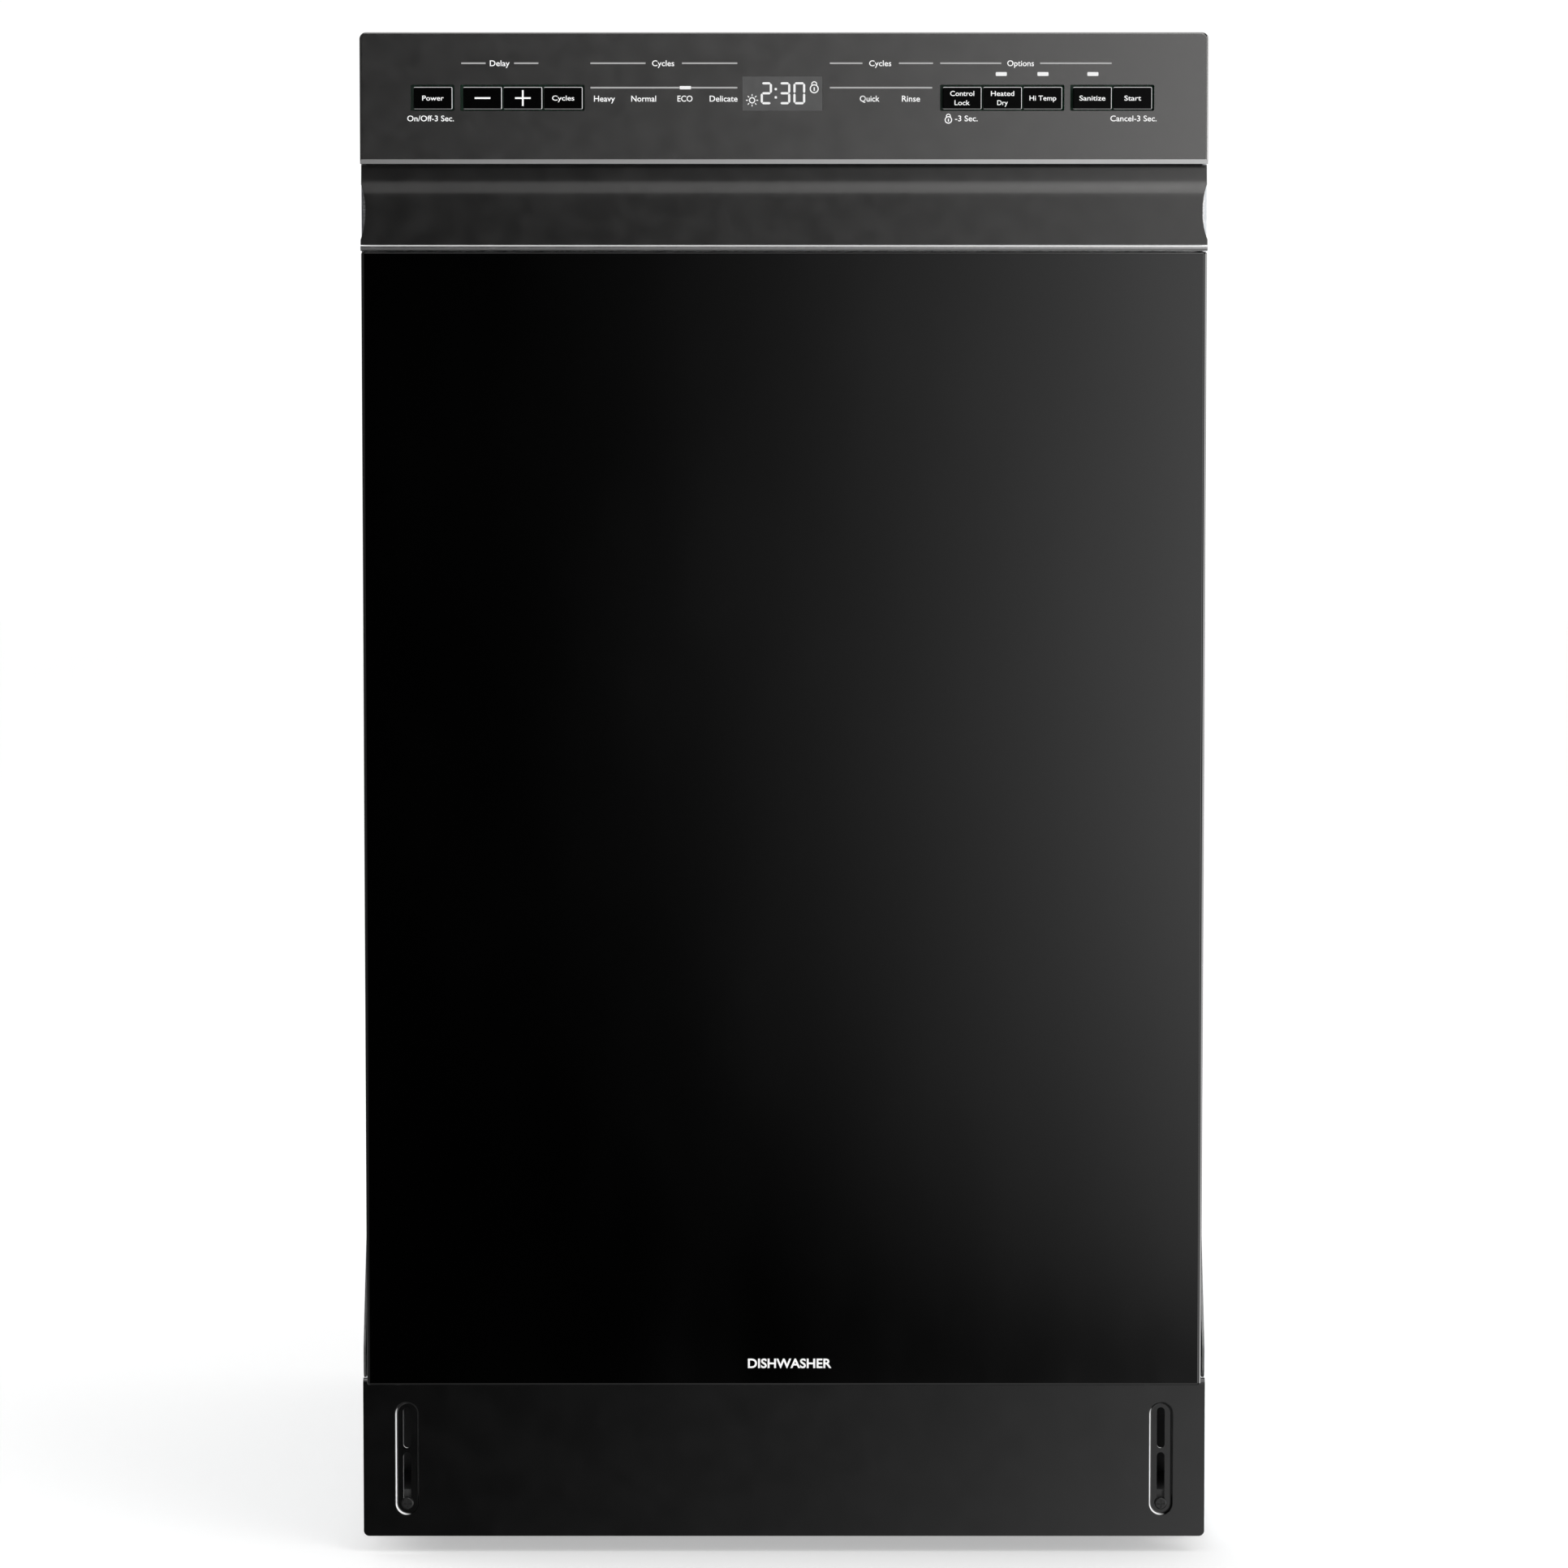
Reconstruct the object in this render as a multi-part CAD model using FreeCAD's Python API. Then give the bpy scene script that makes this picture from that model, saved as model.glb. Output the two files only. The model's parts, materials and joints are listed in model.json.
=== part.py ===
"""A 45 cm built-in dishwasher with a drop-down door, two racks and three spray arms.

Frame: millimetres, +Z up, the door faces -Y, +X is to the right of somebody facing the door.
The origin is on the floor, under the middle of the overall box.
Each sub-part is written to its own STEP file.
"""
import FreeCAD, Part
import math
import os

V = FreeCAD.Vector
X_AXIS, Y_AXIS, Z_AXIS = V(1, 0, 0), V(0, 1, 0), V(0, 0, 1)

# ---- driving dimensions -------------------------------------------------------------------
DEPTH = 600.0            # overall, door face to the back of the side panels
HEIGHT = 814.0           # floor to the top of the worktop brackets, feet wound in
BODY_W = 450.0           # across the side panels
KICK_W = 452.0           # kick plate
DOOR_W = 444.0           # across the inner door and the fascia
PANEL_W = 443.6          # gloss outer door panel

FRONT = -DEPTH / 2
BACK = DEPTH / 2
DOOR_TOP = 812.0
DOOR_BOTTOM = 97.0
FASCIA_BOTTOM = 743.6    # lower edge of the control fascia
SCOOP_BOTTOM = 698.2     # lower edge of the finger-grip moulding
PANEL_TOP = 697.6        # top of the gloss panel
LINER_Y = -252.0         # inner face of the closed door
HINGE_Y, HINGE_Z = -283.0, 107.0
SKIN = 1.0               # sheet thickness of the tub and the inner door

FLANGE_Y = -246.0        # front face of the tub's flange
TUB_HALF = 203.0         # inside half width of the tub
TUB_BACK = 262.0
TUB_TOP = 780.0
LEDGE_Z = 141.0          # shelf that the lower rack's wheels run on
BASIN_Z = 116.0          # floor of the basin below the ledge
BASIN_HALF = 172.0
BASIN_FRONT, BASIN_BACK = -222.0, 238.0
HUB_Y = 12.0             # spray arms turn about the line x = 0, y = HUB_Y

KICK_Y = -268.0          # front face of the kick plate
KICK_BOTTOM, KICK_TOP = 9.5, 95.0
KICK_SLOT_X, KICK_SLOT_Z = 202.5, 51.6
KICK_SCREW_Z = 27.2
TRAY_FRONT, TRAY_BACK = -212.0, 270.0
TRAY_BOTTOM, TRAY_TOP = 20.0, 100.0
TRAY_HALF = 223.8

FOOT_PLACES = {
    "foot_front_left": (-190.0, -190.0),
    "foot_front_right": (190.0, -190.0),
    "foot_rear": (0.0, 250.0),
}
FOOT_STEM_R, FOOT_BORE_R = 5.2, 5.28

# keys: name, centre in x; four wells, each given by its left and right edge
KEY_W, KEY_H, KEY_GAP = 20.1, 11.5, 1.0
KEY_Z = 777.8
KEY_PITCH = KEY_W + KEY_GAP
KEY_GROUPS = [
    (-183.6, ["power"]),
    (-157.7, ["minus", "plus", "cycles"]),
    (93.2, ["lock", "heated_dry", "hi_temp"]),
    (161.3, ["sanitize", "start"]),
]
KEY_TRAVEL = 1.2
KEY_FACE = FRONT + 0.3
KEY_BACK = FRONT + 2.7
BOARD_Y = -291.0

FASCIA_WALL = 2.5
LIP_HEIGHT, LIP_DEPTH = 2.3, 1.4      # sloping lower lip of the fascia
DISPLAY = (-21.8, 20.1, 771.1, 789.1)  # left, right, bottom and top of the display window
LATCH_Y, LATCH_Z, LATCH_PIN_R = -272.0, 796.0, 2.2

SCOOP_REAR = -274.6      # nothing of the inner door's side flange stands in front of this beside the grip
RECESS_HALF, RECESS_BOTTOM, RECESS_TOP, RECESS_DEPTH = 178.0, 152.0, 772.0, 10.0
DISPENSER = (-74.0, 74.0, 338.0, 524.0)  # left, right, bottom and top
LID = (-64.0, 8.0, 428.0, 508.0)      # the same for the powder cup's lid
CAP_X, CAP_Z = 42.0, 470.0

BRACKET_X = 150.0
PULLEY_Y, PULLEY_Z, PULLEY_R = -238.0, 47.0, 9.0
SPRING_X = 214.5

SUMP_BOX = (-50.0, 110.0, -100.0, 62.0)  # left, right, front and back of the sump
FILTER_X, FILTER_Y = 62.0, -52.0
FLOAT_X, FLOAT_Y = -146.0, -194.0
PUMP_Y, PUMP_Z = 128.0, 74.0
VOLUTE_X = (-104.0, -60.0)
PUMP_OUT_X, DUCT_Z = -82.0, 95.0
SUCTION_X = 20.0
DRAIN_X, DRAIN_Z = 150.0, 62.0
INLET_X, INLET_Z = -150.0, 62.0
CABLE_X, CABLE_Z = 158.0, 45.0
HEATER_X, HEATER_FRONT, HEATER_REAR, HEATER_Z = 135.0, -165.0, 180.0, 127.0
HEATER_GAP = 32.0        # half the distance between the heater's legs
PORT_Z = 444.5           # where the upper rack's supply docks
CEILING_Z = 770.0

RAIL_Z = 576.0           # middle of the upper rack's rails
UPPER_WIRE_Z = 453.2     # lowest wires of the upper rack
LOWER_WIRE_Z = 168.6     # lowest wires of the lower rack
WIRE_R = 1.6
RIM_R = 2.4
UPPER_HALF, UPPER_FRONT, UPPER_BACK, UPPER_RIM = 174.0, -226.0, 214.0, 600.0
LOWER_HALF, LOWER_FRONT, LOWER_BACK, LOWER_RIM = 174.0, -225.0, 216.0, 290.0
SHELF_X, SHELF_Z, SHELF_R = -164.0, 542.0, 1.8
WHEEL_R = 16.0
WHEEL_YS = (-150.0, 150.0)
WHEEL_Z = LEDGE_Z + 0.2 + WHEEL_R
BASKET = (94.0, 168.0, -206.0, -8.0, 175.2, 300.0)  # left, right, front, back, bottom, top


# ---- helpers ------------------------------------------------------------------------------
def box(x0, x1, y0, y1, z0, z1):
    return Part.makeBox(x1 - x0, y1 - y0, z1 - z0, V(x0, y0, z0))


def rod(start, end, r):
    """A round bar from one point to another."""
    a, b = V(*start), V(*end)
    return Part.makeCylinder(r, (b - a).Length, a, b - a)


def fuse(*shapes):
    whole = shapes[0].multiFuse(list(shapes[1:])) if len(shapes) > 1 else shapes[0]
    return whole.removeSplitter()


def mirrored(shape):
    """The same piece on the other side of the middle plane."""
    return shape.mirror(V(0, 0, 0), X_AXIS)


def both_sides(shape):
    return [shape, mirrored(shape)]


def rounded(shape, r, direction, test=lambda middle: True):
    """Rounds the straight edges that run along direction and whose middle passes the test."""
    chosen = []
    for e in shape.Edges:
        if len(e.Vertexes) != 2 or not isinstance(e.Curve, Part.Line):
            continue
        along = (e.Vertexes[1].Point - e.Vertexes[0].Point).normalize()
        if abs(abs(along.dot(direction)) - 1) < 1e-6 and test(e.CenterOfMass):
            chosen.append(e)
    return shape.makeFillet(r, chosen)


def soft_box(x0, x1, y0, y1, z0, z1, r, direction):
    return rounded(box(x0, x1, y0, y1, z0, z1), r, direction)


def prism_x(outline, x0, x1):
    """Extrudes an outline of (y, z) points from x0 to x1."""
    points = [V(x0, y, z) for y, z in outline]
    face = Part.Face(Part.makePolygon(points + points[:1]))
    return face.extrude(V(x1 - x0, 0, 0))


def slot_y(x, z, width, length, y0, y1):
    """An upright obround bar along Y."""
    r = width / 2
    half = length / 2 - r
    return fuse(
        box(x - r, x + r, y0, y1, z - half, z + half),
        rod((x, y0, z - half), (x, y1, z - half), r),
        rod((x, y0, z + half), (x, y1, z + half), r),
    )


def bent_tube(points, bend, r, bore=0.0):
    """A tube along straight runs joined by tangent arcs."""
    corners = [V(*p) for p in points]
    edges = []
    start = corners[0]
    for before, corner, after in zip(corners, corners[1:], corners[2:]):
        inward = (before - corner).normalize()
        onward = (after - corner).normalize()
        half = inward.getAngle(onward) / 2
        setback = bend / math.tan(half)
        first = corner + inward * setback
        last = corner + onward * setback
        centre = corner + (inward + onward).normalize() * (bend / math.sin(half))
        middle = centre + (corner - centre).normalize() * bend
        edges.append(Part.LineSegment(start, first).toShape())
        edges.append(Part.Arc(first, middle, last).toShape())
        start = last
    edges.append(Part.LineSegment(start, corners[-1]).toShape())
    path = Part.Wire(edges)
    direction = corners[1] - corners[0]
    outer = path.makePipeShell([Part.Wire(Part.makeCircle(r, corners[0], direction))], True, False)
    if not bore:
        return outer
    inner = path.makePipeShell([Part.Wire(Part.makeCircle(bore, corners[0], direction))], True, False)
    return outer.cut(inner)


def solids_of(shapes):
    found = []
    for s in shapes:
        found += s.Solids
    return found


def save(name, *shapes):
    solids = solids_of(shapes)
    whole = solids[0] if len(solids) == 1 else Part.makeCompound(solids)
    if not whole.isValid():
        print("not valid:", name)
    whole.exportStep(f"parts/{name}.step")
    print(f"{name}: {len(solids)} solids, {sum(s.Volume for s in solids) / 1000:.1f} cm3")


# ---- base and outer casing ----------------------------------------------------------------
def base_tray():
    """Moulded tray: floor, four walls, screw bosses for the feet and two lugs for the kick plate."""
    wall, floor = 1.8, 3.0
    tray = soft_box(-TRAY_HALF, TRAY_HALF, TRAY_FRONT, TRAY_BACK, TRAY_BOTTOM, TRAY_TOP, 10, Z_AXIS)
    inside = box(-TRAY_HALF + wall, TRAY_HALF - wall, TRAY_FRONT + wall, TRAY_BACK - wall,
                 TRAY_BOTTOM + floor, TRAY_TOP + 1)
    tray = tray.cut(rounded(inside, 8, Z_AXIS))
    adds = []
    cuts = []
    for x, y in FOOT_PLACES.values():
        adds.append(rod((x, y, TRAY_BOTTOM), (x, y, 52), 13))
        cuts.append(rod((x, y, TRAY_BOTTOM - 1), (x, y, 53), FOOT_BORE_R))
    for x, y in ((-95, -198), (95, -198), (-105, 218), (105, 218)):
        adds.append(box(x - 8, x + 8, y - 8, y + 8, TRAY_BOTTOM, BASIN_Z - SKIN))
    for side in (-1, 1):
        x = side * KICK_SLOT_X
        adds.append(box(x - 7, x + 7, KICK_Y + 5, TRAY_FRONT + 1, TRAY_BOTTOM, 34))
        cuts.append(rod((x, KICK_Y + 4, KICK_SCREW_Z), (x, KICK_Y + 20, KICK_SCREW_Z), 1.9))
        cuts.append(box(side * 214.5 - 4, side * 214.5 + 4, TRAY_FRONT - 1, TRAY_FRONT + 3, 32, 42))
    cuts.append(rod((INLET_X, TRAY_BACK - 4, INLET_Z), (INLET_X, TRAY_BACK + 1, INLET_Z), 14.5))
    cuts.append(rod((DRAIN_X, TRAY_BACK - 4, DRAIN_Z), (DRAIN_X, TRAY_BACK + 1, DRAIN_Z), 12.5))
    vent = [box(x - 14, x + 14, -160 + 60 * row, -120 + 60 * row, TRAY_BOTTOM - 1, TRAY_BOTTOM + 4)
            for row in range(4) for x in (-120, 120) if row != 2]
    return fuse(tray, *adds).cut(Part.makeCompound(cuts + vent))


def kick_plate():
    """Folded sheet with a rounded top edge, and an embossed slot near each end."""
    half, sheet, fold = KICK_W / 2, 1.2, 11.0
    outline = box(-half, half, KICK_Y, KICK_Y + fold, KICK_BOTTOM, KICK_TOP)
    outline = rounded(outline, 3, X_AXIS, lambda p: p.y < KICK_Y + 1 and p.z > KICK_TOP - 1)
    outline = rounded(outline, 3, Y_AXIS, lambda p: p.z < KICK_BOTTOM + 1)
    hollow = box(-half - 1, half + 1, KICK_Y + sheet, KICK_Y + fold + 1, KICK_BOTTOM - 1, KICK_TOP - sheet)
    hollow = rounded(hollow, 1.8, X_AXIS, lambda p: p.y < KICK_Y + 2 and p.z > KICK_TOP - 3)
    plate = outline.cut(hollow)
    for x0, x1 in ((-half - 1, -209), (209, half + 1)):
        plate = plate.cut(box(x0, x1, KICK_Y + 4, KICK_Y + fold + 1, KICK_TOP - 12, KICK_TOP + 2))
    depth = 1.5
    for side in (-1, 1):
        x = side * KICK_SLOT_X
        backing = slot_y(x, KICK_SLOT_Z, 12 + 2 * sheet, 60.8 + 2 * sheet,
                         KICK_Y + sheet, KICK_Y + sheet + depth)
        pocket = slot_y(x, KICK_SLOT_Z, 12, 60.8, KICK_Y - 1, KICK_Y + depth)
        floor_edge = [e for e in pocket.Edges if abs(e.BoundBox.YMin - KICK_Y - depth) < 1e-3
                      and e.BoundBox.YLength < 1e-3]
        pocket = pocket.makeFillet(0.9, floor_edge)
        plate = fuse(plate, backing).cut(pocket)
        rim = [e for e in plate.Edges if e.BoundBox.YLength < 1e-3 and abs(e.BoundBox.YMin - KICK_Y) < 1e-3
               and abs(e.CenterOfMass.x - x) < 7 and abs(e.CenterOfMass.z - KICK_SLOT_Z) < 32]
        plate = plate.makeFillet(0.5, rim)
        for z, length in ((40.0, 29.6), (68.2, 22.1)):
            plate = plate.cut(slot_y(x, z, 4.2, length, KICK_Y, KICK_Y + 8))
    return plate


def kick_screws():
    """One pan-head screw in the lower end of each slot."""
    screws = []
    for side in (-1, 1):
        x = side * KICK_SLOT_X
        seat = KICK_Y + 1.5
        head = rod((x, seat, KICK_SCREW_Z), (x, seat - 1.5, KICK_SCREW_Z), 3.3)
        head = head.makeFillet(0.7, [e for e in head.Edges if e.CenterOfMass.y < seat - 1.4 and e.Closed])
        head = head.cut(box(x - 2.2, x + 2.2, seat - 2, seat - 0.8, KICK_SCREW_Z - 0.4, KICK_SCREW_Z + 0.4))
        head = head.cut(box(x - 0.4, x + 0.4, seat - 2, seat - 0.8, KICK_SCREW_Z - 2.2, KICK_SCREW_Z + 2.2))
        shank = rod((x, seat - 0.1, KICK_SCREW_Z), (x, KICK_Y + 18, KICK_SCREW_Z), 1.8)
        screws.append(fuse(head, shank))
    return screws


def side_panel():
    """Galvanised side: a flat sheet with folded edges and three pressed fields."""
    outer, sheet = BODY_W / 2, 0.8
    inner = outer - sheet
    y0, z0, z1 = FLANGE_Y + SKIN + 0.1, 22.0, 808.0
    panel = box(inner, outer, y0, BACK, z0, z1)
    folds = [
        box(outer - 14, outer, y0 + 24, BACK, z1 - sheet, z1),
        box(outer - 20, outer, BACK - sheet, BACK, TRAY_TOP + 2, z1),
        box(outer - 9, outer, y0, y0 + sheet, 178, z1),
    ]
    panel = fuse(panel, *folds)
    for y_mid, z_mid, width, height in ((28, 640, 400, 190), (28, 400, 400, 190), (28, 180, 400, 150)):
        field = [y_mid - width / 2, y_mid + width / 2, z_mid - height / 2, z_mid + height / 2]
        backing = soft_box(inner - 1.2, inner, *field, 16, X_AXIS)
        pressed = soft_box(outer - 1.2, outer + 1, field[0] + 3, field[1] - 3, field[2] + 3, field[3] - 3,
                           13, X_AXIS)
        panel = fuse(panel, backing).cut(pressed)
    return panel


def sound_blanket():
    """Felt over the top and back of the tub."""
    thick = 11.0
    top = TUB_TOP + SKIN + 0.8
    back = TUB_BACK + SKIN + 0.8
    outline = [(-222, top), (back, top), (back, 150), (back + thick, 150), (back + thick, top + thick),
               (-222, top + thick)]
    blanket = prism_x(outline, -204, 204)
    return rounded(blanket, 5, X_AXIS, lambda p: p.y > back + thick - 1 and p.z > top + thick - 1)


def worktop_brackets():
    """Two Z-shaped straps screwed to the top of the tub's flange, with one screw hole each."""
    straps = []
    for x in (-BRACKET_X, BRACKET_X):
        strap = fuse(
            box(x - 16, x + 16, FLANGE_Y + SKIN, FLANGE_Y + SKIN + 1.6, 793, HEIGHT),
            box(x - 16, x + 16, FLANGE_Y + SKIN, FLANGE_Y + SKIN + 44, HEIGHT - 1.6, HEIGHT),
        )
        strap = rounded(strap, 6, Z_AXIS, lambda p: p.y > FLANGE_Y + SKIN + 40)
        straps.append(strap.cut(rod((x, FLANGE_Y + 28, HEIGHT - 3), (x, FLANGE_Y + 28, HEIGHT + 1), 2.6)))
    return straps


def hinge_brackets():
    """Steel cheeks beside the lower door, each with the hinge pin and the cord pulley on its own pin."""
    pieces = []
    x0, x1 = 222.9, 224.1
    outline = [(-291, 99), (-291, 116), (-262, 174), (-205, 174), (-205, 101), (-226, 101), (-226, 30),
               (-252, 30), (-252, 99)]
    plate = prism_x(outline, x0, x1)
    plate = rounded(plate, 6, X_AXIS, lambda p: p.y < -260)
    pin = rod((213.5, HINGE_Y, HINGE_Z), (x0 + 0.5, HINGE_Y, HINGE_Z), 4.0)
    stub = rod((210.5, PULLEY_Y, PULLEY_Z), (x0 + 0.5, PULLEY_Y, PULLEY_Z), 3.0)
    pulley = rod((211, PULLEY_Y, PULLEY_Z), (218, PULLEY_Y, PULLEY_Z), PULLEY_R + 2)
    groove = rod((212.5, PULLEY_Y, PULLEY_Z), (216.5, PULLEY_Y, PULLEY_Z), PULLEY_R + 4).cut(
        rod((212, PULLEY_Y, PULLEY_Z), (217, PULLEY_Y, PULLEY_Z), PULLEY_R - 1.4))
    pulley = pulley.cut(groove).cut(rod((210, PULLEY_Y, PULLEY_Z), (219, PULLEY_Y, PULLEY_Z), 3.1))
    for piece in (fuse(plate, pin, stub), pulley):
        pieces += both_sides(piece)
    return pieces


def door_springs():
    """Tension springs, each drawn as its outer cylinder, and the cords that lead round the pulleys."""
    cord_r = 1.2
    low = PULLEY_Z - PULLEY_R
    left = PULLEY_Y - PULLEY_R
    turn = PULLEY_R * math.sqrt(0.5)
    edges = [
        Part.LineSegment(V(SPRING_X, left, 61.8), V(SPRING_X, left, PULLEY_Z)).toShape(),
        Part.Arc(V(SPRING_X, left, PULLEY_Z), V(SPRING_X, PULLEY_Y - turn, PULLEY_Z - turn),
                 V(SPRING_X, PULLEY_Y, low)).toShape(),
        Part.LineSegment(V(SPRING_X, PULLEY_Y, low), V(SPRING_X, -200, low)).toShape(),
    ]
    start = Part.Wire(Part.makeCircle(cord_r, V(SPRING_X, left, 61.8), Z_AXIS))
    cord = Part.Wire(edges).makePipeShell([start], True, False)
    spring = rod((SPRING_X, -200, low), (SPRING_X, -30, low), 7.0)
    return both_sides(cord) + both_sides(spring)


def foot(x, y):
    """Levelling foot: a flared pad with a hexagon on a threaded stem."""
    pad = Part.makeCone(16, 12, 7, V(x, y, 0), Z_AXIS)
    pad = pad.makeFillet(1.2, [e for e in pad.Edges if e.Closed and e.CenterOfMass.z < 0.1])
    across = V(9, 0, 0)
    corners = []
    for k in range(6):
        turned = FreeCAD.Rotation(Z_AXIS, 60 * k).multVec(across)
        corners.append(V(x, y, 7) + turned)
    nut = Part.Face(Part.makePolygon(corners + corners[:1])).extrude(V(0, 0, 6))
    return fuse(pad, nut, rod((x, y, 12), (x, y, 88), FOOT_STEM_R))


# ---- tub ----------------------------------------------------------------------------------
def tub_inside(grow):
    """The washing chamber's volume, grown outwards by the sheet thickness for its outer skin."""
    half = TUB_HALF + grow
    chamber = box(-half, half, FLANGE_Y - 5, TUB_BACK + grow, LEDGE_Z - grow, TUB_TOP + grow)
    chamber = rounded(chamber, 28 + grow, Z_AXIS, lambda p: p.y > 0)
    chamber = rounded(chamber, 22 + grow, Y_AXIS, lambda p: p.z > TUB_TOP - 5)
    chamber = rounded(chamber, 5 + grow, Y_AXIS, lambda p: p.z < LEDGE_Z + 5)
    basin = box(-BASIN_HALF - grow, BASIN_HALF + grow, BASIN_FRONT - grow, BASIN_BACK + grow,
                BASIN_Z - grow, LEDGE_Z + 20)
    basin = rounded(basin, 26 + grow, Z_AXIS)
    return chamber, basin


def tub():
    """Stainless tub: chamber, basin and front flange, with holes for the sump, heater and float."""
    inner, inner_basin = tub_inside(0)
    outer, outer_basin = tub_inside(SKIN)
    shell = outer.fuse(outer_basin)
    flange = box(-221, 221, FLANGE_Y, FLANGE_Y + SKIN, 104, 806)
    for side in (-1, 1):
        low, high = sorted((side * 213.5, side * 222))
        flange = flange.cut(box(low, high, FLANGE_Y - 1, FLANGE_Y + 2, 100, 166))
    shell = shell.common(box(-230, 230, FLANGE_Y, 300, 0, 900)).fuse(flange)
    shell = shell.cut(inner.fuse(inner_basin))
    x0, x1, y0, y1 = SUMP_BOX
    cuts = [soft_box(x0 + 6, x1 - 6, y0 + 6, y1 - 6, BASIN_Z - 5, BASIN_Z + 5, 20, Z_AXIS)]
    cuts.append(rod((FLOAT_X, FLOAT_Y, BASIN_Z - 5), (FLOAT_X, FLOAT_Y, BASIN_Z + 5), 4.5))
    for side in (-1, 1):
        x = side * HEATER_GAP
        cuts.append(rod((x, HEATER_REAR, BASIN_Z - 5), (x, HEATER_REAR, BASIN_Z + 5), 7.2))
    return shell.cut(Part.makeCompound(cuts)).removeSplitter()


def tub_gasket():
    """Rubber bulb seal up both sides and over the top of the opening."""
    y0, y1 = LINER_Y + 0.3, FLANGE_Y
    inner_half, outer_half = TUB_HALF + 2, TUB_HALF + 10.5
    low, top = 150.0, TUB_TOP + 2
    outer = soft_box(-outer_half, outer_half, y0, y1, low, top + 8.5, 26, Y_AXIS)
    inner = soft_box(-inner_half, inner_half, y0 - 1, y1 + 1, low - 60, top, 20, Y_AXIS)
    return outer.cut(inner).cut(box(-230, 230, y0 - 1, y1 + 1, 100, 180))


def latch_strike():
    """Steel tongue on the tub's flange that the door latch closes on."""
    z = 796.0
    tongue = fuse(
        box(-10, 10, -273, FLANGE_Y, z - 1.2, z + 1.2),
        box(-18, 18, FLANGE_Y - 1.6, FLANGE_Y, z - 4, z + 9),
    )
    return tongue.cut(box(-5, 5, -268, -260, z - 2, z + 2))


def sump():
    """Moulded sump under the tub: an open cup with a clamping rim and two hose spigots."""
    x0, x1, y0, y1 = SUMP_BOX
    cup = soft_box(x0, x1, y0, y1, 58, BASIN_Z - SKIN - 4, 24, Z_AXIS)
    rim = soft_box(x0 - 8, x1 + 8, y0 - 8, y1 + 8, BASIN_Z - SKIN - 4, BASIN_Z - SKIN, 30, Z_AXIS)
    hollow = soft_box(x0 + 4, x1 - 4, y0 + 4, y1 - 4, 62, BASIN_Z, 20, Z_AXIS)
    suction = rod((SUCTION_X, y1 - 1, PUMP_Z), (SUCTION_X, y1 + 14, PUMP_Z), 15)
    drain = rod((x1 - 1, -20, 74), (x1 + 12, -20, 74), 10)
    body = fuse(cup, rim, suction, drain)
    bores = [
        rod((SUCTION_X, y1 - 10, PUMP_Z), (SUCTION_X, y1 + 15, PUMP_Z), 12),
        rod((x1 - 10, -20, 74), (x1 + 13, -20, 74), 7.5),
    ]
    duct = rod((x0 - 14, HUB_Y, DUCT_Z), (0, HUB_Y, DUCT_Z), 9)
    collar = rod((0, HUB_Y, DUCT_Z - 8), (0, HUB_Y, 106.8), 14)
    return fuse(body.cut(Part.makeCompound([hollow] + bores)), duct, collar)


def filter_plate():
    """Perforated steel filter over the sump, with openings for the filter cup and the arm's post."""
    x0, x1, y0, y1 = SUMP_BOX
    plate = soft_box(x0 - 8, x1 + 8, y0 - 8, y1 + 8, BASIN_Z + 0.2, BASIN_Z + 1.6, 26, Z_AXIS)
    cup = rod((FILTER_X, FILTER_Y, BASIN_Z - 2), (FILTER_X, FILTER_Y, BASIN_Z + 5), 35.5)
    post = rod((0, HUB_Y, BASIN_Z - 2), (0, HUB_Y, BASIN_Z + 5), 15.5)
    return plate.cut(cup).cut(post)


def filter_cup():
    """Cylindrical filter with a turning grip."""
    centre = (FILTER_X, FILTER_Y)
    top = BASIN_Z + 1.9
    body = fuse(
        rod((*centre, 66), (*centre, top + 3), 33),
        rod((*centre, top), (*centre, top + 3), 41),
    )
    body = body.cut(rod((*centre, 69), (*centre, top + 4), 30))
    grip = box(FILTER_X - 31, FILTER_X + 31, FILTER_Y - 3, FILTER_Y + 3, top - 12, top + 11)
    ring = rod((*centre, top - 1), (*centre, top + 3), 12)
    return fuse(body, rounded(grip, 2, X_AXIS, lambda p: p.z > top + 5), ring)


def heating_element():
    """Tubular heater round the basin, open at the back, with a clamping bush on each leg."""
    r = 3.9
    leg_z = BASIN_Z - 14
    points = [
        (HEATER_GAP, HEATER_REAR, leg_z),
        (HEATER_GAP, HEATER_REAR, HEATER_Z),
        (HEATER_X, HEATER_REAR, HEATER_Z),
        (HEATER_X, HEATER_FRONT, HEATER_Z),
        (-HEATER_X, HEATER_FRONT, HEATER_Z),
        (-HEATER_X, HEATER_REAR, HEATER_Z),
        (-HEATER_GAP, HEATER_REAR, HEATER_Z),
        (-HEATER_GAP, HEATER_REAR, leg_z),
    ]
    loop = bent_tube(points, 9.0, r)
    bushes = []
    for x in (-HEATER_GAP, HEATER_GAP):
        bushes.append(rod((x, HEATER_REAR, BASIN_Z - 8), (x, HEATER_REAR, BASIN_Z + 4), 7.0))
    return fuse(loop, *bushes)


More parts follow.
